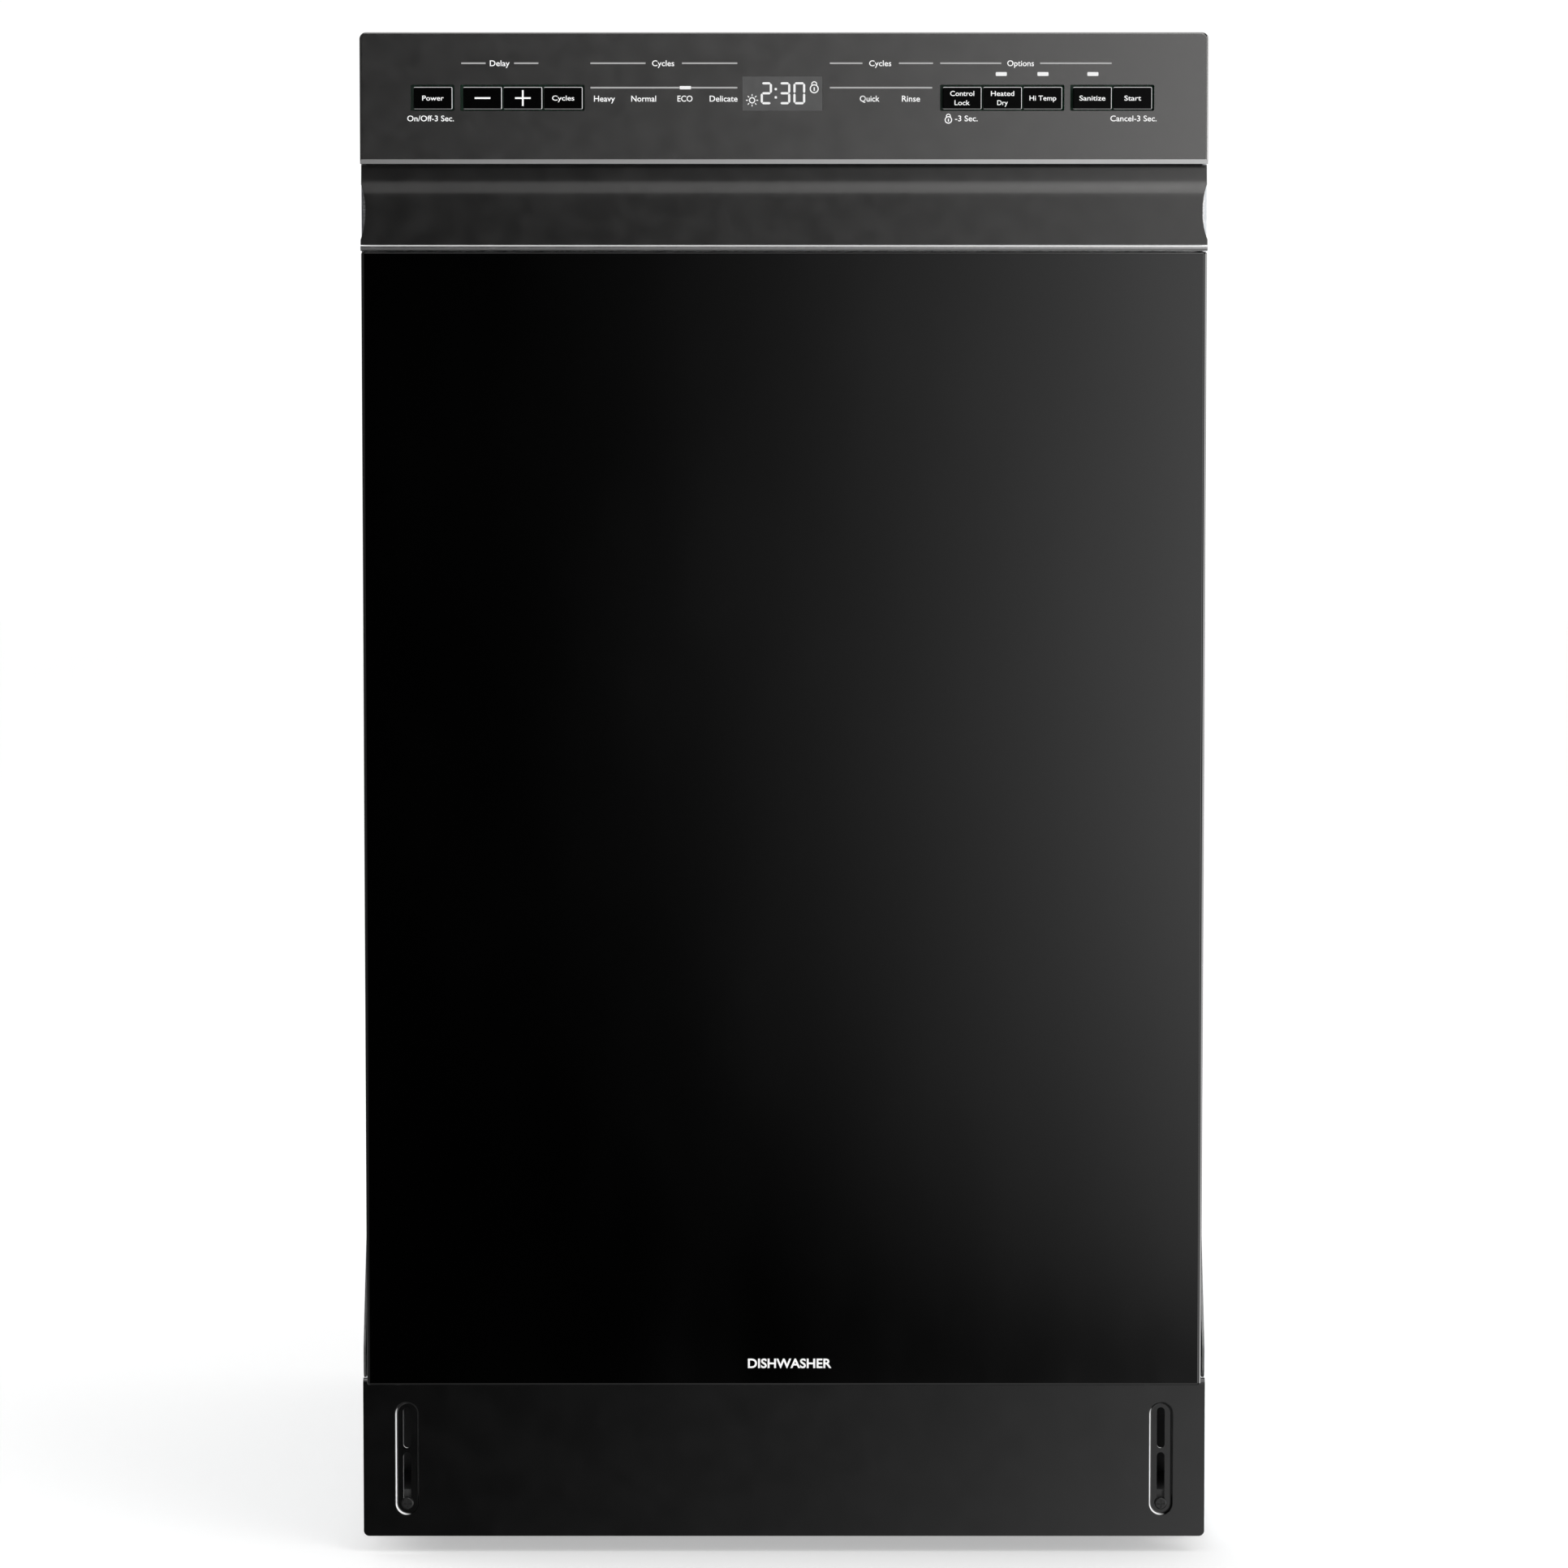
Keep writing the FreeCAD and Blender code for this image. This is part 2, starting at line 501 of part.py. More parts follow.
def float_cap():
    """Overflow float: a domed cap on a stem."""
    cap = rod((FLOAT_X, FLOAT_Y, BASIN_Z + 1), (FLOAT_X, FLOAT_Y, BASIN_Z + 26), 15)
    cap = cap.makeFillet(6, [e for e in cap.Edges if e.Closed and e.CenterOfMass.z > BASIN_Z + 25])
    cap = cap.cut(rod((FLOAT_X, FLOAT_Y, BASIN_Z), (FLOAT_X, FLOAT_Y, BASIN_Z + 20), 12.5))
    stem = rod((FLOAT_X, FLOAT_Y, BASIN_Z - 14), (FLOAT_X, FLOAT_Y, BASIN_Z + 21), 3)
    return fuse(cap, stem)


# ---- water path ---------------------------------------------------------------------------
def feed_pipe():
    """Moulded supply: the lower arm's post, a floor channel, a riser up the back and a ceiling channel."""
    post = rod((0, HUB_Y, 107), (0, HUB_Y, 136), 14)
    spindle = rod((0, HUB_Y, 136), (0, HUB_Y, 151), 5.95)
    channel = soft_box(-14, 14, HUB_Y, 236, 119, 131, 4, Y_AXIS)
    lift = soft_box(-14, 14, 223, 236, 121, 156, 4, Z_AXIS)
    step = soft_box(-14, 14, 227, 260, 144, 156, 4, Y_AXIS)
    riser = soft_box(-14, 14, 248, 261, 144, 757, 4, Z_AXIS)
    top = CEILING_Z + 8
    elbow = prism_x([(248, 752), (261, 752), (261, 757), (240, top), (230, top), (230, top - 12)], -13, 13)
    port = rod((0, 250, PORT_Z), (0, 237, PORT_Z), 10)
    ceiling = soft_box(-12, 12, HUB_Y - 14, 236, top - 12, top, 4, Y_AXIS)
    nipple = rod((0, HUB_Y, CEILING_Z - 22), (0, HUB_Y, CEILING_Z - 4), 5.95)
    whole = fuse(post, spindle, channel, lift, step, riser, elbow, port, ceiling, nipple)
    return whole.cut(rod((0, 250, PORT_Z), (0, 236, PORT_Z), 7))


def spray_arm(reach, root_w, tip_w, z, thick, hub_r, hub_low, hub_high, bore):
    """Two blades that taper to round tips, on a hub that turns on a spindle."""
    outline = []
    for side in (1, -1):
        outline += [(side * 14, -side * root_w / 2), (side * (reach - tip_w / 2), -side * tip_w / 2),
                    (side * (reach - tip_w / 2), side * tip_w / 2), (side * 14, side * root_w / 2)]
    points = [V(x, HUB_Y + y, z) for x, y in outline]
    blades = Part.Face(Part.makePolygon(points + points[:1])).extrude(V(0, 0, thick))
    tip_x = reach - tip_w / 2
    tips = [rod((x, HUB_Y, z), (x, HUB_Y, z + thick), tip_w / 2) for x in (tip_x, -tip_x)]
    hub = rod((0, HUB_Y, hub_low), (0, HUB_Y, hub_high), hub_r)
    arm = fuse(blades, *tips)
    arm = arm.makeFillet(thick * 0.3, [e for e in arm.Edges if e.BoundBox.ZLength < 1e-3])
    arm = fuse(arm, hub)
    jets = []
    for side in (1, -1):
        count = max(2, int(reach / 28))
        for k in range(count):
            x = side * (30 + k * (reach - 42) / (count - 1))
            y = HUB_Y + side * (5 if k % 2 else -5) * (0.6 if k == count - 1 else 1)
            jets.append(rod((x, y, z + thick - 2.2), (x, y, z + thick + 1), 1.7))
    return arm.cut(Part.makeCompound(jets + [rod((0, HUB_Y, z - 40), (0, HUB_Y, z + 40), bore)]))


def rack_manifold():
    """Flat supply tube under the upper rack, from its docking mouth to the upper arm's spindle."""
    tube = soft_box(-12, 12, HUB_Y - 14, 226, PORT_Z - 6.5, PORT_Z + 6.5, 4, Y_AXIS)
    mouth = rod((0, 224, PORT_Z), (0, 234, PORT_Z), 9)
    spindle = rod((0, HUB_Y, PORT_Z - 24), (0, HUB_Y, PORT_Z - 6), 5.95)
    return fuse(tube, mouth, spindle).cut(rod((0, 215, PORT_Z), (0, 235, PORT_Z), 6))


def wash_pump():
    """Volute, motor can and terminal block. The volute is hollow for the impeller."""
    x0, x1 = VOLUTE_X
    volute = rod((x0, PUMP_Y, PUMP_Z), (x1, PUMP_Y, PUMP_Z), 36)
    chamber = rod((x0 + 6, PUMP_Y, PUMP_Z), (x1 - 8, PUMP_Y, PUMP_Z), 32)
    nose = rod((x1 - 1, PUMP_Y, PUMP_Z), (x1 + 10, PUMP_Y, PUMP_Z), 15)
    outlet = rod((PUMP_OUT_X, PUMP_Y - 25, DUCT_Z), (PUMP_OUT_X, PUMP_Y - 58, DUCT_Z), 11)
    housing = fuse(volute, nose, outlet).cut(chamber)
    housing = housing.cut(rod((x1 - 12, PUMP_Y, PUMP_Z), (x1 + 11, PUMP_Y, PUMP_Z), 12))
    housing = housing.cut(rod((x0 - 1, PUMP_Y, PUMP_Z), (x0 + 7, PUMP_Y, PUMP_Z), 6))
    motor = rod((x0 - 84, PUMP_Y, PUMP_Z), (x0, PUMP_Y, PUMP_Z), 33)
    motor = motor.makeFillet(4, [e for e in motor.Edges if e.Closed and e.CenterOfMass.x < x0 - 83])
    motor = motor.cut(rod((x0 - 40, PUMP_Y, PUMP_Z), (x0 + 1, PUMP_Y, PUMP_Z), 6))
    block = box(x0 - 66, x0 - 36, PUMP_Y - 14, PUMP_Y + 14, PUMP_Z - 42, PUMP_Z - 31)
    return [housing, fuse(motor, block)]


def pump_impeller():
    """Five flat vanes on a disc, on the motor shaft."""
    x = VOLUTE_X[0] + 10
    disc = rod((x, PUMP_Y, PUMP_Z), (x + 2.5, PUMP_Y, PUMP_Z), 28)
    hub = rod((x, PUMP_Y, PUMP_Z), (x + 18, PUMP_Y, PUMP_Z), 9)
    shaft = rod((x - 44, PUMP_Y, PUMP_Z), (x + 2, PUMP_Y, PUMP_Z), 4)
    vanes = []
    for k in range(5):
        vane = box(x + 2, x + 16, PUMP_Y - 8.6, PUMP_Y - 6.2, PUMP_Z + 2, PUMP_Z + 26)
        vane.rotate(V(0, PUMP_Y, PUMP_Z), X_AXIS, 72 * k)
        vanes.append(vane)
    return fuse(disc, hub, shaft, *vanes)


def drain_pump():
    """Small pump beside the sump."""
    body = rod((150, 20, 56), (150, -40, 56), 23)
    body = body.makeFillet(4, [e for e in body.Edges if e.Closed and e.CenterOfMass.y > 19])
    nose = rod((122.2, -20, 74), (150, -20, 74), 10)
    outlet = rod((150, 10, 76), (150, 10, 92), 9)
    return fuse(body, nose, outlet)


def inlet_valve():
    """Solenoid valve whose threaded inlet stands out of the tray's back."""
    stub = rod((INLET_X, 255, INLET_Z), (INLET_X, BACK, INLET_Z), 13.2)
    body = soft_box(INLET_X - 19, INLET_X + 19, 222, 264, INLET_Z - 20, INLET_Z + 20, 4, Y_AXIS)
    coil = rod((INLET_X, 242, INLET_Z - 34), (INLET_X, 242, INLET_Z - 19), 13)
    outlet = rod((INLET_X, 223, INLET_Z), (INLET_X, 205, INLET_Z), 7)
    return fuse(stub, body, coil, outlet).cut(rod((INLET_X, 268, INLET_Z), (INLET_X, BACK + 1, INLET_Z), 8))


def internal_hoses():
    """Moulded hoses: sump to pump, pump to feed post, drain pump to the outlet, valve to the air break."""
    back = SUMP_BOX[3] + 14
    nose_x = VOLUTE_X[1] + 10
    suction = bent_tube([(SUCTION_X, back + 0.2, PUMP_Z), (SUCTION_X, PUMP_Y, PUMP_Z),
                         (nose_x + 0.2, PUMP_Y, PUMP_Z)], 22, 14.5)
    supply = bent_tube([(PUMP_OUT_X, PUMP_Y - 58.2, DUCT_Z), (PUMP_OUT_X, HUB_Y, DUCT_Z),
                        (SUMP_BOX[0] - 14.2, HUB_Y, DUCT_Z)], 13, 9.5)
    drain = bent_tube([(150, 10, 92.5), (150, 10, 104), (186, 60, 104), (186, 190, 74),
                       (DRAIN_X, 226, DRAIN_Z), (DRAIN_X, 258, DRAIN_Z)], 9, 8.5)
    outlet = rod((DRAIN_X, 258, DRAIN_Z), (DRAIN_X, BACK, DRAIN_Z), 9.5).cut(
        rod((DRAIN_X, 259, DRAIN_Z), (DRAIN_X, BACK + 1, DRAIN_Z), 7))
    fill = bent_tube([(INLET_X, 204.8, INLET_Z), (INLET_X, 186, INLET_Z), (-205, 168, 80), (-212.5, 120, 120),
                      (-212.5, 120, 329.8)], 12, 5.5)
    return [suction, supply, drain, outlet, fill]


def air_break_tank():
    """Flat moulded tank between the tub and the left side panel."""
    tank = soft_box(-219, -206.5, -70, 150, 330, 620, 18, X_AXIS)
    window = soft_box(-220, -217.5, -50, 130, 350, 600, 12, X_AXIS)
    return tank.cut(window)


def junction_box():
    """Steel wiring box with a screwed lid and a knocked-out cable hole."""
    x0, x1, y0, y1, z0, z1 = 120.0, 196.0, -150.0, -96.0, 24.0, 66.0
    shell = box(x0, x1, y0, y1, z0, z1).cut(box(x0 + 1.5, x1 - 1.5, y0 - 1, y1 - 1.5, z0 + 1.5, z1 - 1.5))
    shell = shell.cut(rod((CABLE_X, y1 - 3, CABLE_Z), (CABLE_X, y1 + 1, CABLE_Z), 11.1))
    lid = box(x0 - 1.5, x1 + 1.5, y0 - 1.5, y0, z0, z1 + 1.5)
    screw = rod((CABLE_X, y0 - 3.5, z1 - 6), (CABLE_X, y0 - 1.5, z1 - 6), 3.5)
    return [shell, fuse(lid, screw)]


# ---- racks --------------------------------------------------------------------------------
def spread(low, high, count):
    return [low + (high - low) * k / (count - 1) for k in range(count)]


def wire_basket(half_w, y0, y1, z, rim_z, across, along, mid_rim):
    """The welded wires of a rack: bottom grid, uprights and rims. Crossing wires touch."""
    d = 2 * WIRE_R
    rows = spread(y0 + 12, y1 - 12, across)
    columns = spread(-half_w + 20, half_w - 20, along)
    wires = [rod((-half_w + WIRE_R, y, z), (half_w - WIRE_R, y, z), WIRE_R) for y in rows]
    wires += [rod((x, y0 + WIRE_R, z + d), (x, y1 - WIRE_R, z + d), WIRE_R) for x in columns]
    for side in (-1, 1):
        wires += [rod((side * half_w, y, z), (side * half_w, y, rim_z), WIRE_R) for y in rows]
    for y in (y0, y1):
        wires += [rod((x, y, z + d), (x, y, rim_z), WIRE_R) for x in columns]
    out = WIRE_R + RIM_R
    for level in mid_rim:
        for side in (-1, 1):
            x = side * (half_w + out)
            wires.append(rod((x, y0, level), (x, y1, level), RIM_R))
        for y, sign in ((y0, -1), (y1, 1)):
            wires.append(rod((-half_w, y + sign * out, level), (half_w, y + sign * out, level), RIM_R))
    return wires


def tines(x, rows, z, height):
    return [rod((x, y + 2 * WIRE_R, z), (x, y + 2 * WIRE_R, z + height), WIRE_R) for y in rows]


def rail_roller(x0, x1, y, pin_from, pin_to):
    """A roller with its own pin, both round about X at the rails' height."""
    roller = rod((x0, y, RAIL_Z), (x1, y, RAIL_Z), 8.1)
    roller = roller.cut(rod((x0 - 1, y, RAIL_Z), (x1 + 1, y, RAIL_Z), 3.05))
    return [roller, rod((pin_from, y, RAIL_Z), (pin_to, y, RAIL_Z), 3.0)]


def upper_rack():
    """Upper basket with two rows of tines, side plates and the rollers that run in the rails."""
    wires = wire_basket(UPPER_HALF, UPPER_FRONT, UPPER_BACK, UPPER_WIRE_Z, UPPER_RIM, 12, 9,
                        (UPPER_WIRE_Z + 62, UPPER_RIM - 3))
    rows = spread(UPPER_FRONT + 12, UPPER_BACK - 12, 12)
    for x in (-45, 45):
        wires += tines(x, rows[1:-1], UPPER_WIRE_Z + WIRE_R, 62)
    for side in (-1, 1):
        for y in (-15.0, 192.0):
            plate_x = sorted((side * 179.2, side * 182.6))
            roller_x = sorted((side * 187.2, side * 191.6))
            pin_x = sorted((side * 182.6, side * 192.0))
            wires.append(soft_box(*plate_x, y - 22, y + 22, RAIL_Z - 16, RAIL_Z + 12, 5, X_AXIS))
            wires += rail_roller(*roller_x, y, *pin_x)
    for y in (-160.0, 146.0):
        clip = fuse(
            box(-UPPER_HALF + WIRE_R, -UPPER_HALF + WIRE_R + 2, y - 20, y + 20, SHELF_Z - 5, SHELF_Z + 5),
            box(-UPPER_HALF + WIRE_R, SHELF_X + 4, y - 4, y + 4, SHELF_Z - 5, SHELF_Z + 5),
        )
        wires.append(clip.cut(rod((SHELF_X, y - 5, SHELF_Z), (SHELF_X, y + 5, SHELF_Z), SHELF_R + 0.06)))
    return wires


def upper_rails():
    """I-section rails with end caps. The tub's rollers run outside the web and the rack's inside it."""
    pieces = []
    x_in, x_out, web0, web1 = 186.0, 201.2, 192.6, 194.0
    z0, z1, skin = RAIL_Z - 10.0, RAIL_Z + 10.0, 1.6
    rail = fuse(
        box(web0, web1, -235, 235, z0, z1),
        box(x_in, x_out, -235, 235, z0, z0 + skin),
        box(x_in, x_out, -235, 235, z1 - skin, z1),
    )
    cap = soft_box(x_in - 1.5, x_out + 0.8, -242, -235, z0 - 2, z1 + 2, 3, X_AXIS)
    stop = box(x_in, web0, 228, 233, z0 + skin, z1 - skin)
    for piece in (rail, cap, stop):
        pieces += both_sides(piece)
    return pieces


def rail_rollers():
    """Two rollers on each wall of the tub, on stepped pins through a cover plate."""
    pieces = []
    for y in (-215.0, 10.0):
        plate = soft_box(TUB_HALF - 1.0, TUB_HALF, y - 15, y + 15, RAIL_Z - 22, RAIL_Z + 22, 8, X_AXIS)
        roller, pin = rail_roller(195.4, 200.2, y, 194.8, TUB_HALF - 1.0)
        for piece in (plate, roller, pin):
            pieces += both_sides(piece)
    return pieces


def cup_shelf():
    """Folding wire shelf on the left of the upper rack."""
    y0, y1, reach = -190.0, 176.0, 74.0
    lines = (SHELF_X, SHELF_X + reach / 2, SHELF_X + reach - 4)
    wires = [rod((x, y0, SHELF_Z), (x, y1, SHELF_Z), SHELF_R) for x in lines]
    z = SHELF_Z + SHELF_R + WIRE_R
    wires += [rod((SHELF_X - 1, y, z), (SHELF_X + reach, y, z), WIRE_R) for y in spread(y0 + 6, y1 - 6, 9)]
    return wires


def lower_rack():
    """Lower basket with four rows of plate tines and a plastic carrier for each wheel."""
    wires = wire_basket(LOWER_HALF, LOWER_FRONT, LOWER_BACK, LOWER_WIRE_Z, LOWER_RIM, 11, 9,
                        (LOWER_WIRE_Z + 44, LOWER_RIM - 3))
    rows = spread(LOWER_FRONT + 12, LOWER_BACK - 12, 11)
    for x in (-125, -60, 20):
        wires += tines(x, rows[:-1], LOWER_WIRE_Z + WIRE_R, 78)
    wires += tines(85, rows[:-1], LOWER_WIRE_Z + WIRE_R, 62)
    wires += tines(128, rows[6:-1], LOWER_WIRE_Z + WIRE_R, 62)
    for side in (-1, 1):
        for y in WHEEL_YS:
            carrier_x = sorted((side * 176.0, side * 184.0))
            wires.append(soft_box(*carrier_x, y - 20, y + 20, WHEEL_Z - 6, WHEEL_Z + 6, 3, X_AXIS))
            wires.append(rod((side * 184.0, y, WHEEL_Z), (side * 197.0, y, WHEEL_Z), 3.0))
    return wires


def wheel_pair(y):
    """Two dished wheels on one line, one each side, each turning on its own stub axle."""
    wheel = rod((186, y, WHEEL_Z), (195, y, WHEEL_Z), WHEEL_R)
    wheel = wheel.makeFillet(1.5, [e for e in wheel.Edges if e.Closed and e.Curve.Radius > 10])
    dish = rod((193, y, WHEEL_Z), (196, y, WHEEL_Z), WHEEL_R - 3.5).cut(
        rod((192, y, WHEEL_Z), (197, y, WHEEL_Z), 6))
    axle_hole = rod((185, y, WHEEL_Z), (196, y, WHEEL_Z), 3.08)
    wheel = wheel.cut(dish).cut(axle_hole)
    return both_sides(wheel)


def cutlery_basket():
    """Eight-cell basket with slotted walls and a carrying handle."""
    x0, x1, y0, y1, z0, z1 = BASKET
    wall = 2.0
    shell = soft_box(x0, x1, y0, y1, z0, z1, 6, Z_AXIS)
    cells = []
    x_mid = (x0 + x1) / 2
    pitch = (y1 - y0 - wall) / 4
    for k in range(4):
        low = y0 + wall + k * pitch
        for a, b in ((x0 + wall, x_mid - wall / 2), (x_mid + wall / 2, x1 - wall)):
            cells.append(box(a, b, low, low + pitch - wall, z0 + wall, z1 + 1))
    shell = shell.cut(Part.makeCompound(cells))
    slots = []
    for k in range(4):
        middle = y0 + wall + k * pitch + (pitch - wall) / 2
        for z in (z0 + 14, z0 + 50, z0 + 86):
            for shift in (-14, 0, 14):
                slots.append(box(x0 - 1, x1 + 1, middle + shift - 3.5, middle + shift + 3.5, z, z + 28))
    keep_middle = box(x_mid - wall / 2, x_mid + wall / 2, y0, y1, z0, z1)
    shell = fuse(shell.cut(Part.makeCompound(slots)), keep_middle)
    y_mid = (y0 + y1) / 2
    handle = fuse(
        box(x_mid - 3, x_mid + 3, y_mid - 34, y_mid - 28, z1 - 2, z1 + 62),
        box(x_mid - 3, x_mid + 3, y_mid + 28, y_mid + 34, z1 - 2, z1 + 62),
        box(x_mid - 3, x_mid + 3, y_mid - 34, y_mid + 34, z1 + 54, z1 + 62),
    )
    handle = rounded(handle, 2.5, X_AXIS, lambda p: p.z > z1 + 60)
    return fuse(shell, handle)


# ---- door ---------------------------------------------------------------------------------
def door_panel():
    """Gloss outer sheet with returned edges."""
    half, sheet, depth = PANEL_W / 2, 1.2, 9.0
    y0 = FRONT + 0.8
    outer = box(-half, half, y0, y0 + depth, DOOR_BOTTOM, PANEL_TOP)
    outer = rounded(outer, 2, Z_AXIS, lambda p: p.y < y0 + 1)
    outer = rounded(outer, 1.2, X_AXIS, lambda p: p.y < y0 + 1)
    inner = box(-half + sheet, half - sheet, y0 + sheet, y0 + depth + 1,
                DOOR_BOTTOM + sheet, PANEL_TOP - sheet)
    return outer.cut(inner)


def door_liner():
    """Pressed stainless inner door: rim, recessed middle, side flanges, dispenser and latch openings."""
    half = DOOR_W / 2
    rim = box(-half, half, LINER_Y - SKIN, LINER_Y, 104, 806)
    pan = soft_box(-RECESS_HALF - SKIN, RECESS_HALF + SKIN, LINER_Y - RECESS_DEPTH - SKIN, LINER_Y - SKIN / 2,
                   RECESS_BOTTOM - SKIN, RECESS_TOP + SKIN, 21, Y_AXIS)
    recess = soft_box(-RECESS_HALF, RECESS_HALF, LINER_Y - RECESS_DEPTH, LINER_Y + 1,
                      RECESS_BOTTOM, RECESS_TOP, 20, Y_AXIS)
    flanges = [box(side * half - (SKIN if side > 0 else 0), side * half + (0 if side > 0 else SKIN),
                   FRONT + 10, LINER_Y, 104, FASCIA_BOTTOM - 0.5) for side in (-1, 1)]
    liner = fuse(rim, pan, *flanges).cut(recess)
    x0, x1, z0, z1 = DISPENSER
    cuts = [
        box(x0 + 5, x1 - 5, LINER_Y - 20, LINER_Y + 2, z0 + 5, z1 - 5),
        box(-14, 14, -260, -248, 791, 802),
    ]
    for side in (-1, 1):
        low, high = sorted((side * 213.0, side * (half - SKIN)))
        cuts.append(box(low, high, -258, -248, 100, 120))
        low, high = sorted((side * (half - 2.4), side * (half + 1)))
        cuts.append(box(low, high, -262, -248, FASCIA_BOTTOM - 0.5, 810))
        cuts.append(rod((side * 215, HINGE_Y, HINGE_Z), (side * 225, HINGE_Y, HINGE_Z), 4.6))
        low, high = sorted((side * 218.0, side * 224.0))
        cuts.append(box(low, high, -300, SCOOP_REAR, SCOOP_BOTTOM - 0.3, FASCIA_BOTTOM))
    return liner.cut(Part.makeCompound(cuts)).removeSplitter()


def key_centres():
    """Each key's name and its middle in x."""
    found = []
    for first, names in KEY_GROUPS:
        for k, name in enumerate(names):
            found.append((name, first + k * KEY_PITCH))
    return found


def control_fascia():
    """Moulded control panel with four key wells, a seat for the display and a bright lower lip."""
    half = DOOR_W / 2
    shell = box(-half, half, FRONT, -253, FASCIA_BOTTOM, DOOR_TOP)
    shell = rounded(shell, 3.5, Y_AXIS, lambda p: p.z > DOOR_TOP - 1)
    shell = rounded(shell, 1.2, X_AXIS, lambda p: p.y < FRONT + 1 and p.z > DOOR_TOP - 1)
    inside = box(-half + 2.2, half - 2.2, FRONT + FASCIA_WALL, -250, FASCIA_BOTTOM - 5, DOOR_TOP - 2.5)
    shell = shell.cut(inside)
    low = FASCIA_BOTTOM
    slope = LIP_DEPTH / LIP_HEIGHT
    lip = [
        (FRONT - slope, low + LIP_HEIGHT + 1),
        (FRONT + LIP_DEPTH + slope, low - 1),
        (FRONT - slope, low - 1),
    ]
    shell = shell.cut(prism_x(lip, -half, half))
    cuts = []
    for first, names in KEY_GROUPS:
        x0 = first - KEY_W / 2 - 1.6
        x1 = first + (len(names) - 1) * KEY_PITCH + KEY_W / 2 + 1.2
        z0 = KEY_Z - KEY_H / 2 - 0.9
        z1 = KEY_Z + KEY_H / 2 + 1.2
        cuts.append(soft_box(x0, x1, FRONT - 1, FRONT + 6, z0, z1, 0.8, Y_AXIS))
    x0, x1, z0, z1 = DISPLAY
    cuts.append(box(x0, x1, FRONT - 1, FRONT + 0.8, z0, z1))
    cuts.append(box(x0 + 2, x1 - 2, FRONT, FRONT + 5, z0 + 2, z1 - 2))
    lugs = []
    for side in (-1, 1):
        low, high = sorted((side * 14.2, side * 16.6))
        lugs.append(box(low, high, LATCH_Y - 8, LATCH_Y + 8, LATCH_Z - 8, DOOR_TOP - 1))
        lugs.append(rod((side * 15, LATCH_Y, LATCH_Z), (side * 11.6, LATCH_Y, LATCH_Z), LATCH_PIN_R))
    return fuse(shell.cut(Part.makeCompound(cuts)), *lugs)


def key(x):
    """A push key with eased front edges and two guide ribs behind."""
    cap = box(x - KEY_W / 2, x + KEY_W / 2, KEY_FACE, KEY_BACK - 0.2, KEY_Z - KEY_H / 2, KEY_Z + KEY_H / 2)
    cap = rounded(cap, 0.6, Y_AXIS)
    front = [e for e in cap.Edges if e.BoundBox.YLength < 1e-3 and abs(e.BoundBox.YMin - KEY_FACE) < 1e-3]
    cap = cap.makeFillet(0.45, front)
    return fuse(cap, box(x - 2, x + 2, KEY_BACK - 0.3, KEY_BACK, KEY_Z - 2, KEY_Z + 2))


def display_window():
    """Tinted window, flush in the fascia."""
    x0, x1, z0, z1 = DISPLAY
    return box(x0 + 0.05, x1 - 0.05, FRONT + 0.02, FRONT + 0.8, z0 + 0.05, z1 - 0.05)


def control_board():
    """Circuit board with a switch behind each key and the display module."""
    board = box(-205, 205, BOARD_Y, BOARD_Y + 1.6, 769.5, 804)
    for x in (-198, 198):
        board = board.cut(rod((x, BOARD_Y - 1, 799), (x, BOARD_Y + 3, 799), 1.8))
    pieces = [board]
    gap = KEY_TRAVEL + 0.1
    for _, x in key_centres():
        pieces.append(box(x - 3, x + 3, KEY_BACK + gap, BOARD_Y, KEY_Z - 3, KEY_Z + 3))
    x0, x1, z0, z1 = DISPLAY
    pieces.append(box(x0 + 3, x1 - 3, FRONT + 2.6, BOARD_Y, z0 + 3, z1 - 3))
    pieces.append(box(60, 84, BOARD_Y + 1.6, BOARD_Y + 9, 770, 800))
    return pieces


